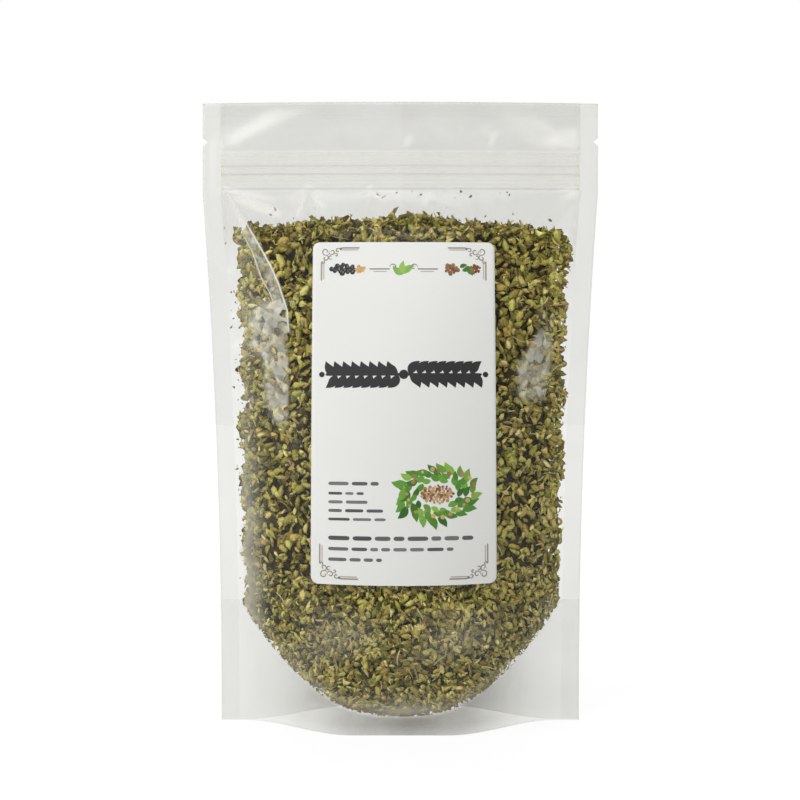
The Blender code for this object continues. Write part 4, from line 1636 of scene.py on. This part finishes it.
    def dust(self) -> Scatter:
        """Specks on the inside of the film: beside the seals, at the weld, above the heap, under the zip.

        Returns:
            The specks' places.
        """
        form, draw = self.form, self.draw
        beside, low, above, under_zip = self.dust_counts
        z = draw.uniform(40, 162, beside) * MM
        x = np.sign(draw.normal(size=beside)) * (form.seal_line(z) - draw.uniform(0.3, 3.6, beside) * MM)
        foot_x = draw.uniform(-50, 50, low) * MM
        foot_z = form.weld_z(foot_x) + draw.uniform(0.2, 2.4, low) * MM
        above_x = draw.uniform(-50, 52, above) * MM
        above_z = form.heap_z(above_x) + draw.exponential(2.6, above) * MM
        zip_x = draw.uniform(-14, 37, under_zip) * MM
        zip_z = draw.uniform(170.5, 173.5, under_zip) * MM
        x = np.concatenate([x, foot_x, above_x, zip_x])
        z = np.concatenate([z, foot_z, above_z, zip_z])
        z = np.minimum(z, self.dust_high)
        y = -(self.inner_reach(x, z) - 0.05 * MM) - form.bow(x, z)
        sizes = np.clip(draw.lognormal(-1.6, 0.35, len(x)), 0.08, 0.34)
        tilts = draw.normal(0, 0.3, len(x))
        return Scatter(stacked(x, y, z), form.panel_normal(x, z, Side.FRONT), sizes, tilts)

    def bed(self) -> Piece:
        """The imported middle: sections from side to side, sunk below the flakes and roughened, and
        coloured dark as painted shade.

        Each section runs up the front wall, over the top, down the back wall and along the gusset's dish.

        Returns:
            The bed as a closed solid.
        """
        form = self.form
        x = np.linspace(-1, 1, 62) * 48.5 * MM
        up = np.linspace(0, 1, 54)[None]
        low = form.heap_low(x)[:, None] + 1.2 * MM
        z_wall = low + up * (form.heap_z(x)[:, None] - 3.0 * MM - low)
        x_wall = np.broadcast_to(x[:, None], z_wall.shape)
        reach = form.reach(x_wall, z_wall)
        y_wall = np.maximum(reach - self.bed_sink, 0.35 * reach) - 0.5 * MM * self.draw.random(z_wall.shape)
        share = np.linspace(1, -1, 14)[1:-1]
        y_top = share[None] * y_wall[:, -1:]
        z_top = z_wall[:, -1:] + 0.8 * MM * self.draw.random(y_top.shape)
        y_low = -share[None] * y_wall[:, :1]
        z_low = form.dish_z(np.broadcast_to(x[:, None], y_low.shape), y_low) + 2.4 * MM
        x_cap = np.broadcast_to(x[:, None], y_top.shape)
        front = stacked(x_wall, -y_wall, z_wall)
        back = stacked(x_wall, y_wall, z_wall)[:, ::-1]
        over, under = stacked(x_cap, -y_top, z_top), stacked(x_cap, -y_low, z_low)
        rings = np.concatenate([front, over, back, under], axis=1)
        rings[..., 1] -= form.bow(rings[..., 0], rings[..., 2])
        tone = self.draw.random(rings.shape[:2])
        return loft_piece("leaf_bed", rings[:, ::-1], tone=tone, cast=0.5 + 0.3 * tone)

    def build(self) -> None:
        """Builds and dresses the bed, the flakes on each face, the stems and the dust."""
        leaf = LeafFinish("leaf_dry", LEAF_TONES).build()
        straw = LeafFinish("stem_dry", STEM_TONES, mottle=0.25, roughness=0.7).build()
        crumb = LeafFinish("leaf_crumb", DUST_TONES).build()
        # Painted shade for the bed that shows between the flakes.
        dark = LeafFinish("leaf_bed_painted_shade", BED_PAINTED_SHADE_TONES, roughness=0.95).build()
        dress(self.bed(), dark, Slot.LEAF, "marjoram_fill")
        for word, side in (("front", Side.FRONT), ("back", Side.BACK)):
            outer, middle, deep = (self.on_panel(side, number) for number in range(len(self.layers)))
            self.batch(f"leaf_flakes_{word}", Scatter.joined((outer, middle)), leaf)
            self.batch(f"leaf_flakes_{word}_deep", deep, leaf)
            self.sticks(f"stem_bits_{word}", self.some_of(outer, self.stem_count, 1.0), straw)
        top = self.on_top()
        self.batch("leaf_flakes_top", top, leaf)
        self.sticks("stem_bits_top", self.some_of(top, self.top_stem_count, 0.9), straw)
        self.batch("leaf_flakes_foot", self.on_foot(), leaf)
        self.batch("leaf_dust", self.dust(), crumb)


@dataclass
class LabelSheet:
    """The paper label and the print on it. Its own coordinates are u and v, from its middle."""

    form: PouchForm
    corner: float = 2.3 * MM
    thickness: float = 0.14 * MM
    gap: float = 0.5 * MM
    ink: float = 0.03 * MM

    def __post_init__(self) -> None:
        """Takes the label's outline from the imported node."""
        low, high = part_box("front_label")
        self.centre_x, self.centre_z = (low.x + high.x) / 2, (low.z + high.z) / 2
        self.half_u, self.half_v = (high.x - low.x) / 2, (high.z - low.z) / 2

    def free_of_label(self, x: Array, z: Array) -> Array:
        """One where a panel is free to wrinkle, falling to nothing under the label."""
        beyond_u = (np.abs(x - self.centre_x) - self.half_u) / (5 * MM)
        beyond_v = (np.abs(z - self.centre_z) - self.half_v) / (5 * MM)
        return smooth(np.maximum(beyond_u, beyond_v) + 0.35)

    def surface(self, u: Array, v: Array, lift: float) -> Array:
        """Points on the label's face: the front panel's reach with slow waves, and a lift on top.

        Args:
            u: places across, from the middle.
            v: places up, from the middle.
            lift: how far above the label's back face.

        Returns:
            Points in the pouch's frame.
        """
        x, z = self.centre_x + u, self.centre_z + v
        wave = 0.10 * MM * np.sin(u / (9 * MM) + 0.6) * np.sin(v / (13 * MM))
        wave = wave + 0.05 * MM * np.sin(v / (4.6 * MM) + u / (7 * MM))
        y = -(self.form.reach(x, z) + self.gap + wave + lift) - self.form.bow(x, z)
        return stacked(x, y, z)

    def sheet(self) -> Piece:
        """The blank label: rows whose half-width follows the round corners, as a thin closed sheet."""
        turn = np.radians(np.linspace(0, 90, 9))
        low = -self.half_v + self.corner * (1 - np.cos(turn))
        middle = np.linspace(low[-1], -low[-1], 90)[1:-1]
        v = np.concatenate([low, middle, -low[::-1]])
        end = self.half_v - np.abs(v)
        drop = np.clip(1 - end / self.corner, 0, 1)
        half = self.half_u - self.corner * (1 - np.sqrt(1 - drop**2))
        share, v = np.meshgrid(np.linspace(-1, 1, 61), v)
        u = share * half[:, None]
        face, underside = self.surface(u, v, self.thickness), self.surface(u, v, 0.0)
        return sheet_piece("label_paper_sheet", face, underside, False)

    def build(self) -> None:
        """Builds the sheet and every colour of print."""
        dress(self.sheet(), PaperFinish().build(), Slot.PAPER, "front_label")
        Print(self).build()


@dataclass
class Stroke:
    """One printed mark: a line of points in u and v, its half-width along it, and its tone."""

    line: Array
    half: Array
    tone: float

    def outline(self) -> Array:
        """The mark's two edges, which lie across from its line by its half-width.

        Returns:
            Points by three across by 2: edge, middle and edge.
        """
        along = unit(np.gradient(self.line, axis=0))
        aside = np.stack([-along[:, 1], along[:, 0]], axis=-1) * self.half[:, None]
        return np.stack([self.line - aside, self.line, self.line + aside], axis=1)


def straight(start: Sequence[float], end: Sequence[float], half: float, tone: float,
             count: int = 8) -> Stroke:
    """A bar with short round ends, its points eased together where the ends turn.

    Args:
        start: its first end in u and v.
        end: its other end.
        half: its half-width.
        tone: its tone.
        count: how many points lie along it.

    Returns:
        The stroke.
    """
    s = (1 - np.cos(np.linspace(0, math.pi, count))) / 2
    line = np.array(start)[None] + s[:, None] * (np.array(end) - np.array(start))[None]
    long = math.dist(start, end)
    near = np.minimum(s, 1 - s) * long
    width = half * np.sqrt(np.clip(1 - (1 - np.clip(near / half, 0, 1)) ** 2, 0.02, 1))
    return Stroke(line, width, tone)


def spiral(centre: Sequence[float], start: float, turn: float, radius: float, shrink: float,
           half: float, tone: float) -> Stroke:
    """A scroll: a spiral whose radius shrinks evenly, thickest in its middle.

    Args:
        centre: its middle in u and v.
        start: the angle where it begins, in radians.
        turn: how far it goes round, positive anticlockwise.
        radius: its outer radius.
        shrink: the share of the radius lost by its end.
        half: its greatest half-width.
        tone: its tone.

    Returns:
        The stroke.
    """
    s = np.linspace(0, 1, 26)
    angle = start + turn * s
    away = radius * (1 - shrink * s)
    line = np.stack([centre[0] + away * np.cos(angle), centre[1] + away * np.sin(angle)], axis=-1)
    return Stroke(line, half * (0.25 + 0.75 * np.sin(math.pi * s) ** 0.7), tone)


def leaf_mark(base: Sequence[float], angle: float, long: float, wide: float, tone: float) -> Stroke:
    """A plain pointed leaf: its half-width swells as a sine that leans to its base."""
    s = np.linspace(0, 1, 12)
    bend = 0.12 * long * np.sin(math.pi * s)
    u = base[0] + s * long * math.cos(angle) - bend * math.sin(angle)
    v = base[1] + s * long * math.sin(angle) + bend * math.cos(angle)
    return Stroke(np.stack([u, v], axis=-1), wide / 2 * np.sin(math.pi * s**0.8) + 0.02 * MM, tone)


def dot_mark(centre: Sequence[float], radius: float, tone: float) -> Stroke:
    """A round dot: a short line whose half-width is a circle's."""
    s = np.cos(np.linspace(math.pi, 0, 9))
    line = np.stack([centre[0] + radius * s, np.full_like(s, centre[1])], axis=-1)
    return Stroke(line, radius * np.sqrt(np.clip(1 - s * s, 0.01, 1)), tone)


@dataclass
class Print:
    """The printed marks: corner scrolls, a header spray, a leaf garland, plain bars and a round wreath."""

    label: LabelSheet
    inset_u: float = 2.9 * MM
    inset_v: float = 1.9 * MM

    def corner(self, right: int, up: int) -> list[Stroke]:
        """A traditional corner flourish: double rules that meet in a knot of small scrolls and a dot.

        Args:
            right: 1 for the right corners, -1 for the left.
            up: 1 for the top corners, -1 for the bottom.

        Returns:
            Its strokes.
        """
        edge_u, edge_v = self.label.half_u - self.inset_u, self.label.half_v - self.inset_v

        def at(a: float, b: float) -> tuple[float, float]:
            """A point a in from the side and b in from the end, in millimetres."""
            return right * (edge_u - a * MM), up * (edge_v - b * MM)

        marks = [
            straight(at(0, 4.4), at(0, 10.8), 0.24 * MM, 0.55),
            straight(at(0.75, 4.4), at(0.75, 10.4), 0.15 * MM, 0.9),
            straight(at(6.4, 0), at(12.4, 0), 0.24 * MM, 0.45),
            straight(at(6.4, 0.65), at(12.0, 0.65), 0.15 * MM, 0.8),
        ]
        scrolls = ((1.3, 1.2, 1.35, 200, 400), (3.4, 1.3, 1.1, 20, -380), (1.3, 3.3, 1.05, 70, 380),
                   (5.3, 0.8, 0.8, 160, -330), (0.5, 4.6, 0.6, 100, 330), (2.9, 3.0, 0.8, 225, 300),
                   (4.7, 2.3, 0.6, 40, 320))
        for a, b, radius, start, turn in scrolls:
            angle = math.radians(start)
            angle = math.atan2(math.sin(angle) * up, math.cos(angle) * right)
            round_by = math.radians(turn) * right * up
            marks.append(spiral(at(a, b), angle, round_by, radius * MM, 0.7, 0.20 * MM, 0.4))
        marks.append(dot_mark(at(6.2, 0.3), 0.42 * MM, 0.0))
        return marks

    def cluster(self, centre: Sequence[float], wide: float, tall: float, count: int, size: float, seed: int,
                tones: tuple[float, float]) -> list[Stroke]:
        """A heap of dots, spread evenly over an ellipse with their sizes and tones drawn at random.

        Args:
            centre: its middle in u and v.
            wide: half its width.
            tall: half its height.
            count: how many dots.
            size: the mean radius of a dot.
            seed: the seed of its draws.
            tones: the lowest and highest tone.

        Returns:
            The dots.
        """
        draw = np.random.default_rng(seed)
        away = np.sqrt((np.arange(count) + 0.5) / count)
        turn = np.arange(count) * math.pi * (3 - math.sqrt(5))
        u = centre[0] + wide * away * np.cos(turn)
        v = centre[1] + tall * away * np.sin(turn)
        radius = size * draw.uniform(0.7, 1.25, count)
        return [dot_mark(spot, r, t) for spot, r, t in zip(zip(u, v), radius, draw.uniform(*tones, count))]

    def header(self) -> tuple[list[Stroke], list[Stroke], list[Stroke], list[Stroke]]:
        """A small spray at the top: dark berries on the left, three leaves, and brown berries on the right.

        Returns:
            The taupe, black, brown and green strokes.
        """
        v = self.label.half_v - 8.9 * MM
        taupe = []
        low = v - 0.85 * MM
        for side in (-1, 1):
            taupe.append(straight((side * 4.4 * MM, v), (side * 11.2 * MM, v), 0.22 * MM, 0.3))
            taupe.append(straight((side * 5.4 * MM, low), (side * 9.8 * MM, low), 0.13 * MM, 0.8))
            curl = (side * 3.3 * MM, v + 0.6 * MM)
            taupe.append(spiral(curl, math.pi * (side < 0), side * 5.5, 1.2 * MM, 0.7, 0.2 * MM, 0.3))
        black = self.cluster((-19.4 * MM, v), 4.2 * MM, 1.5 * MM, 20, 0.74 * MM, 3, (0.0, 0.6))
        black += self.cluster((-19.2 * MM, v + 0.2 * MM), 4.0 * MM, 1.4 * MM, 20, 0.24 * MM, 3, (0.9, 1.0))
        brown = self.cluster((-14.2 * MM, v - 0.1 * MM), 1.5 * MM, 1.1 * MM, 9, 0.5 * MM, 4, (0.55, 0.9))
        brown += self.cluster((15.4 * MM, v), 2.3 * MM, 1.6 * MM, 16, 0.56 * MM, 6, (0.1, 0.5))
        brown += self.cluster((23.2 * MM, v), 1.6 * MM, 1.6 * MM, 10, 0.54 * MM, 8, (0.05, 0.45))
        green = [leaf_mark((0, v - 1.6 * MM), math.radians(turn), 4.4 * MM, 2.1 * MM, tone)
                 for turn, tone in ((90, 0.95), (38, 0.8), (142, 0.8))]
        for k in range(5):
            base = ((18.2 + 0.75 * k) * MM, v + (0.5 - k % 2) * 1.0 * MM)
            green.append(leaf_mark(base, math.radians(20 * (1 - k)), 2.5 * MM, 1.3 * MM, 0.1 + 0.06 * k))
        return taupe, black, brown, green

    def garland(self) -> list[Stroke]:
        """A black band of plain leaves in pairs along a stem, across the upper middle of the label."""
        v, half = 11.6 * MM, 25.0 * MM
        marks = [straight((-half, v), (half, v), 0.42 * MM, 0.3, 24)]
        for side in (-1, 1):
            lean = math.radians(52) if side > 0 else math.radians(128)
            for place in np.linspace(0.17, 0.96, 8):
                base = (side * (place * half - 2.4 * MM), v)
                marks += [leaf_mark(base, up * lean, 5.4 * MM, 2.9 * MM, 0.5) for up in (-1, 1)]
            marks.append(dot_mark((side * (half + 1.2 * MM), v), 0.9 * MM, 0.3))
        marks.append(dot_mark((0, v), 1.5 * MM, 0.3))
        return marks

    def bars(self) -> list[Stroke]:
        """Plain grey bars where small print would be: rows of short bars of mixed lengths."""
        draw = np.random.default_rng(5)
        left = -self.label.half_u + 5.6 * MM
        rows = ((-22.9, 16.0, 0.55), (-26.0, 11.3, 0.42), (-28.7, 13.8, 0.48), (-31.4, 17.5, 0.48),
                (-34.1, 18.8, 0.42), (-40.0, 47.5, 0.66), (-43.4, 39.5, 0.52), (-46.7, 17.0, 0.52))
        marks = []
        for v, long, half in rows:
            at, end = left, left + long * MM
            while at < end - 1.2 * MM:
                step = min(draw.uniform(2.4, 7.5) * MM, end - at)
                marks.append(straight((at, v * MM), (at + step, v * MM), half * MM, draw.random()))
                at += step + 0.95 * MM
        return marks

    def wreath(self) -> tuple[list[Stroke], list[Stroke]]:
        """An oval wreath at the lower right: rings of green leaves round a heap of brown and gold seeds.

        Returns:
            The green strokes and the brown ones.
        """
        draw = np.random.default_rng(17)
        centre, wide, tall = (10.6 * MM, -26.2 * MM), 11.2 * MM, 7.4 * MM

        def at(angle: float, share: float) -> tuple[float, float]:
            """A point of the wreath's oval, at a share of its size."""
            return centre[0] + share * wide * math.cos(angle), centre[1] + share * tall * math.sin(angle)

        green = []
        for ring, count in ((1.0, 24), (0.80, 20), (0.60, 15)):
            for k in range(count):
                angle = 2 * math.pi * (k + 0.5 * (ring < 1)) / count
                lean = angle + math.radians(58) + draw.normal(0, 0.25)
                size = draw.uniform(3.4, 4.9) * MM * (0.6 + 0.4 * ring)
                green.append(leaf_mark(at(angle, ring), lean, size, 0.52 * size, draw.random()))
        brown = self.cluster(centre, 5.2 * MM, 2.9 * MM, 60, 0.48 * MM, 21, (0.15, 0.85))
        for k in range(22):
            angle = 2 * math.pi * k / 22 + draw.normal(0, 0.05)
            away = draw.uniform(0.75, 1.15)
            brown.append(dot_mark(at(angle, away), draw.uniform(0.4, 0.75) * MM, draw.uniform(0.4, 1.0)))
        return green, brown

    def piece(self, name: str, strokes: list[Stroke], lift: float) -> Piece:
        """All strokes of one colour as one mesh: each a thin closed ribbon laid on the label.

        Args:
            name: the piece's name.
            strokes: the marks.
            lift: how far they stand above the first layer of print.

        Returns:
            The mesh's object, with each mark's tone.
        """
        base = self.label.thickness + lift
        points, faces, tones, at = [], [], [], 0
        for number, stroke in enumerate(strokes):
            grid = stroke.outline()
            rise = self.label.ink + 0.004 * MM * (number % 4)
            top = self.label.surface(grid[..., 0], grid[..., 1], base + rise)
            low = self.label.surface(grid[..., 0], grid[..., 1], base - 0.01 * MM)
            rows = len(grid)
            points.append(np.concatenate([top.reshape(-1, 3), low.reshape(-1, 3)]))
            faces.append(sheet_faces(rows, 3) + at)
            tones.append(np.full(6 * rows, stroke.tone))
            at += 6 * rows
        flipped = np.concatenate(faces)[:, ::-1]
        return mesh_piece(name, np.concatenate(points), flipped, False, tone=np.concatenate(tones))

    def build(self) -> None:
        """Builds and dresses each colour of print."""
        scrolls = [mark for right in (-1, 1) for up in (-1, 1) for mark in self.corner(right, up)]
        taupe, black, berries, sprig = self.header()
        green, seeds = self.wreath()
        colours = (
            ("print_scrolls", scrolls + taupe, TAUPE, 0.0),
            ("print_garland", self.garland(), BLACK, 0.0),
            ("print_dark_berries", black, BLACK, 0.0),
            ("print_bars", self.bars(), GREY, 0.0),
            ("print_leaves", green + sprig, GREEN, 0.0),
            ("print_seeds", seeds + berries, BROWN, 0.03 * MM),
        )
        for name, strokes, stops, lift in colours:
            dress(self.piece(name, strokes, lift), InkFinish(name + "_ink", stops).build(), Slot.PAPER)


@dataclass(frozen=True)
class SoftBox:
    """A soft box that faces the pouch, from away metres off.

    Its azimuth is in degrees to the right of the camera, as seen from the pouch, its elevation in degrees
    above level, and its radiance is how bright its face is, where 1 is white.
    """

    name: str
    azimuth: float
    elevation: float
    away: float
    wide: float
    tall: float
    radiance: float
    aim_z: float = 0.10

    def build(self) -> None:
        """Makes the area light and turns it to the middle of the pouch."""
        data = bpy.data.lights.new(self.name, "AREA")
        data.shape = "RECTANGLE"
        data.size, data.size_y = self.wide, self.tall
        data.energy = self.radiance * math.pi * self.wide * self.tall
        light = linked(self.name, data)
        a, e = math.radians(self.azimuth), math.radians(self.elevation)
        toward = np.array([math.sin(a) * math.cos(e), -math.cos(a) * math.cos(e), math.sin(e)])
        light.location = np.array([0, 0, self.aim_z]) + self.away * toward
        light.rotation_euler = (math.pi / 2 - e, 0, a)


SOFT_BOXES = (
    SoftBox("key_top", -14, 56, 1.1, 0.9, 0.7, 3.7),
    SoftBox("strip_left", -62, 25, 1.0, 0.40, 0.62, 4.4),
    SoftBox("strip_right", 63, 25, 1.0, 0.26, 0.50, 2.6),
)


@dataclass
class Studio:
    """A white table and ground, soft boxes and the photograph's camera."""

    distance: float = 0.510
    eye: float = 0.1051
    aside: float = -0.0001
    sensor: float = 36.0
    view_width: float = 0.2633
    floor_radius: float = 6.0
    floor_z: float = -0.0002
    floor_sides: int = 64

    def camera(self) -> None:
        """A level camera at the pouch's mid height, with the lens that gives the photograph's frame."""
        data = bpy.data.cameras.new("camera")
        data.sensor_width = self.sensor
        data.lens = self.sensor * self.distance / self.view_width
        data.clip_start = 0.01
        camera = linked("camera", data)
        camera.location = (self.aside, -self.distance, self.eye)
        camera.rotation_euler = (math.pi / 2, 0, 0)
        bpy.context.scene.camera = camera

    def floor(self) -> None:
        """A pale floor, a disc that is wide enough to fill every view."""
        sides, radius = self.floor_sides, self.floor_radius
        turn = np.linspace(0, 2 * math.pi, sides + 1)[:-1]
        ring = stacked(radius * np.cos(turn), radius * np.sin(turn), np.full_like(turn, self.floor_z))
        points = np.concatenate([ring, [[0, 0, self.floor_z]]])
        index = np.arange(sides)
        faces = np.stack([index, np.roll(index, -1), np.full(sides, sides)], axis=-1)
        piece = mesh_piece("floor", points, faces, False)
        material, nodes, shader, _ = new_material("floor_white")
        away = nodes.add("ShaderNodeVectorMath", operation="LENGTH")
        nodes.feed(nodes.add("ShaderNodeTexCoord").outputs["Object"], away.inputs[0])
        glow = nodes.ramp(away.outputs["Value"], greys((0.05, 0.88), (0.30, 0.93), (0.9, 0.98)))
        paint = nodes.ramp(away.outputs["Value"], greys((0.05, 0.11), (0.30, 0.06), (0.9, 0.02)))
        seen = nodes.add("ShaderNodeLightPath").outputs["Is Camera Ray"]
        nodes.feed(nodes.scaled(seen, 0.22, 0.78), shader.inputs["Emission Strength"])
        nodes.feed(glow, shader.inputs["Emission Color"])
        nodes.feed(paint, shader.inputs["Base Color"])
        shader.inputs["Roughness"].default_value = 0.7
        shader.inputs["Specular IOR Level"].default_value = 0.1
        piece.data.materials.append(material)

    def world(self) -> None:
        """A white world, dimmer on the camera's side so that the film stays clear at the front."""
        world = bpy.data.worlds.new("world")
        bpy.context.scene.world = world
        world.use_nodes = True
        nodes = Nodes(world.node_tree)
        ground = world.node_tree.nodes["Background"]
        facing = nodes.add("ShaderNodeSeparateXYZ")
        nodes.feed(nodes.add("ShaderNodeTexCoord").outputs["Generated"], facing.inputs[0])
        place = nodes.scaled(facing.outputs["Y"], 0.5, 0.5)
        room = nodes.ramp(place, greys((0.0, 0.05), (0.35, 0.16), (0.8, 0.9)))
        seen = nodes.add("ShaderNodeLightPath").outputs["Is Camera Ray"]
        mix = nodes.add("ShaderNodeMix", data_type="RGBA")
        nodes.feed(seen, mix.inputs["Factor"])
        nodes.feed(room, mix.inputs[COLOUR_A])
        mix.inputs[COLOUR_B].default_value = (1, 1, 1, 1)
        nodes.feed(mix.outputs[COLOUR_OUT], ground.inputs["Color"])
        ground.inputs["Strength"].default_value = 1.0

    def build(self) -> None:
        """Sets the whole studio and the plain view transform."""
        self.camera()
        self.floor()
        self.world()
        for light in SOFT_BOXES:
            light.build()
        scene = bpy.context.scene
        scene.view_settings.view_transform = "Standard"
        scene.cycles.transparent_max_bounces = 32


def main() -> None:
    logging.basicConfig(level=logging.INFO, format="%(name)s %(message)s")
    Studio().build()
    LeafHeap(FORM).build()
    ZipStrips(FORM).build()
    Films(FORM).build()
    LabelSheet(FORM).build()


if __name__ == "__main__":
    main()
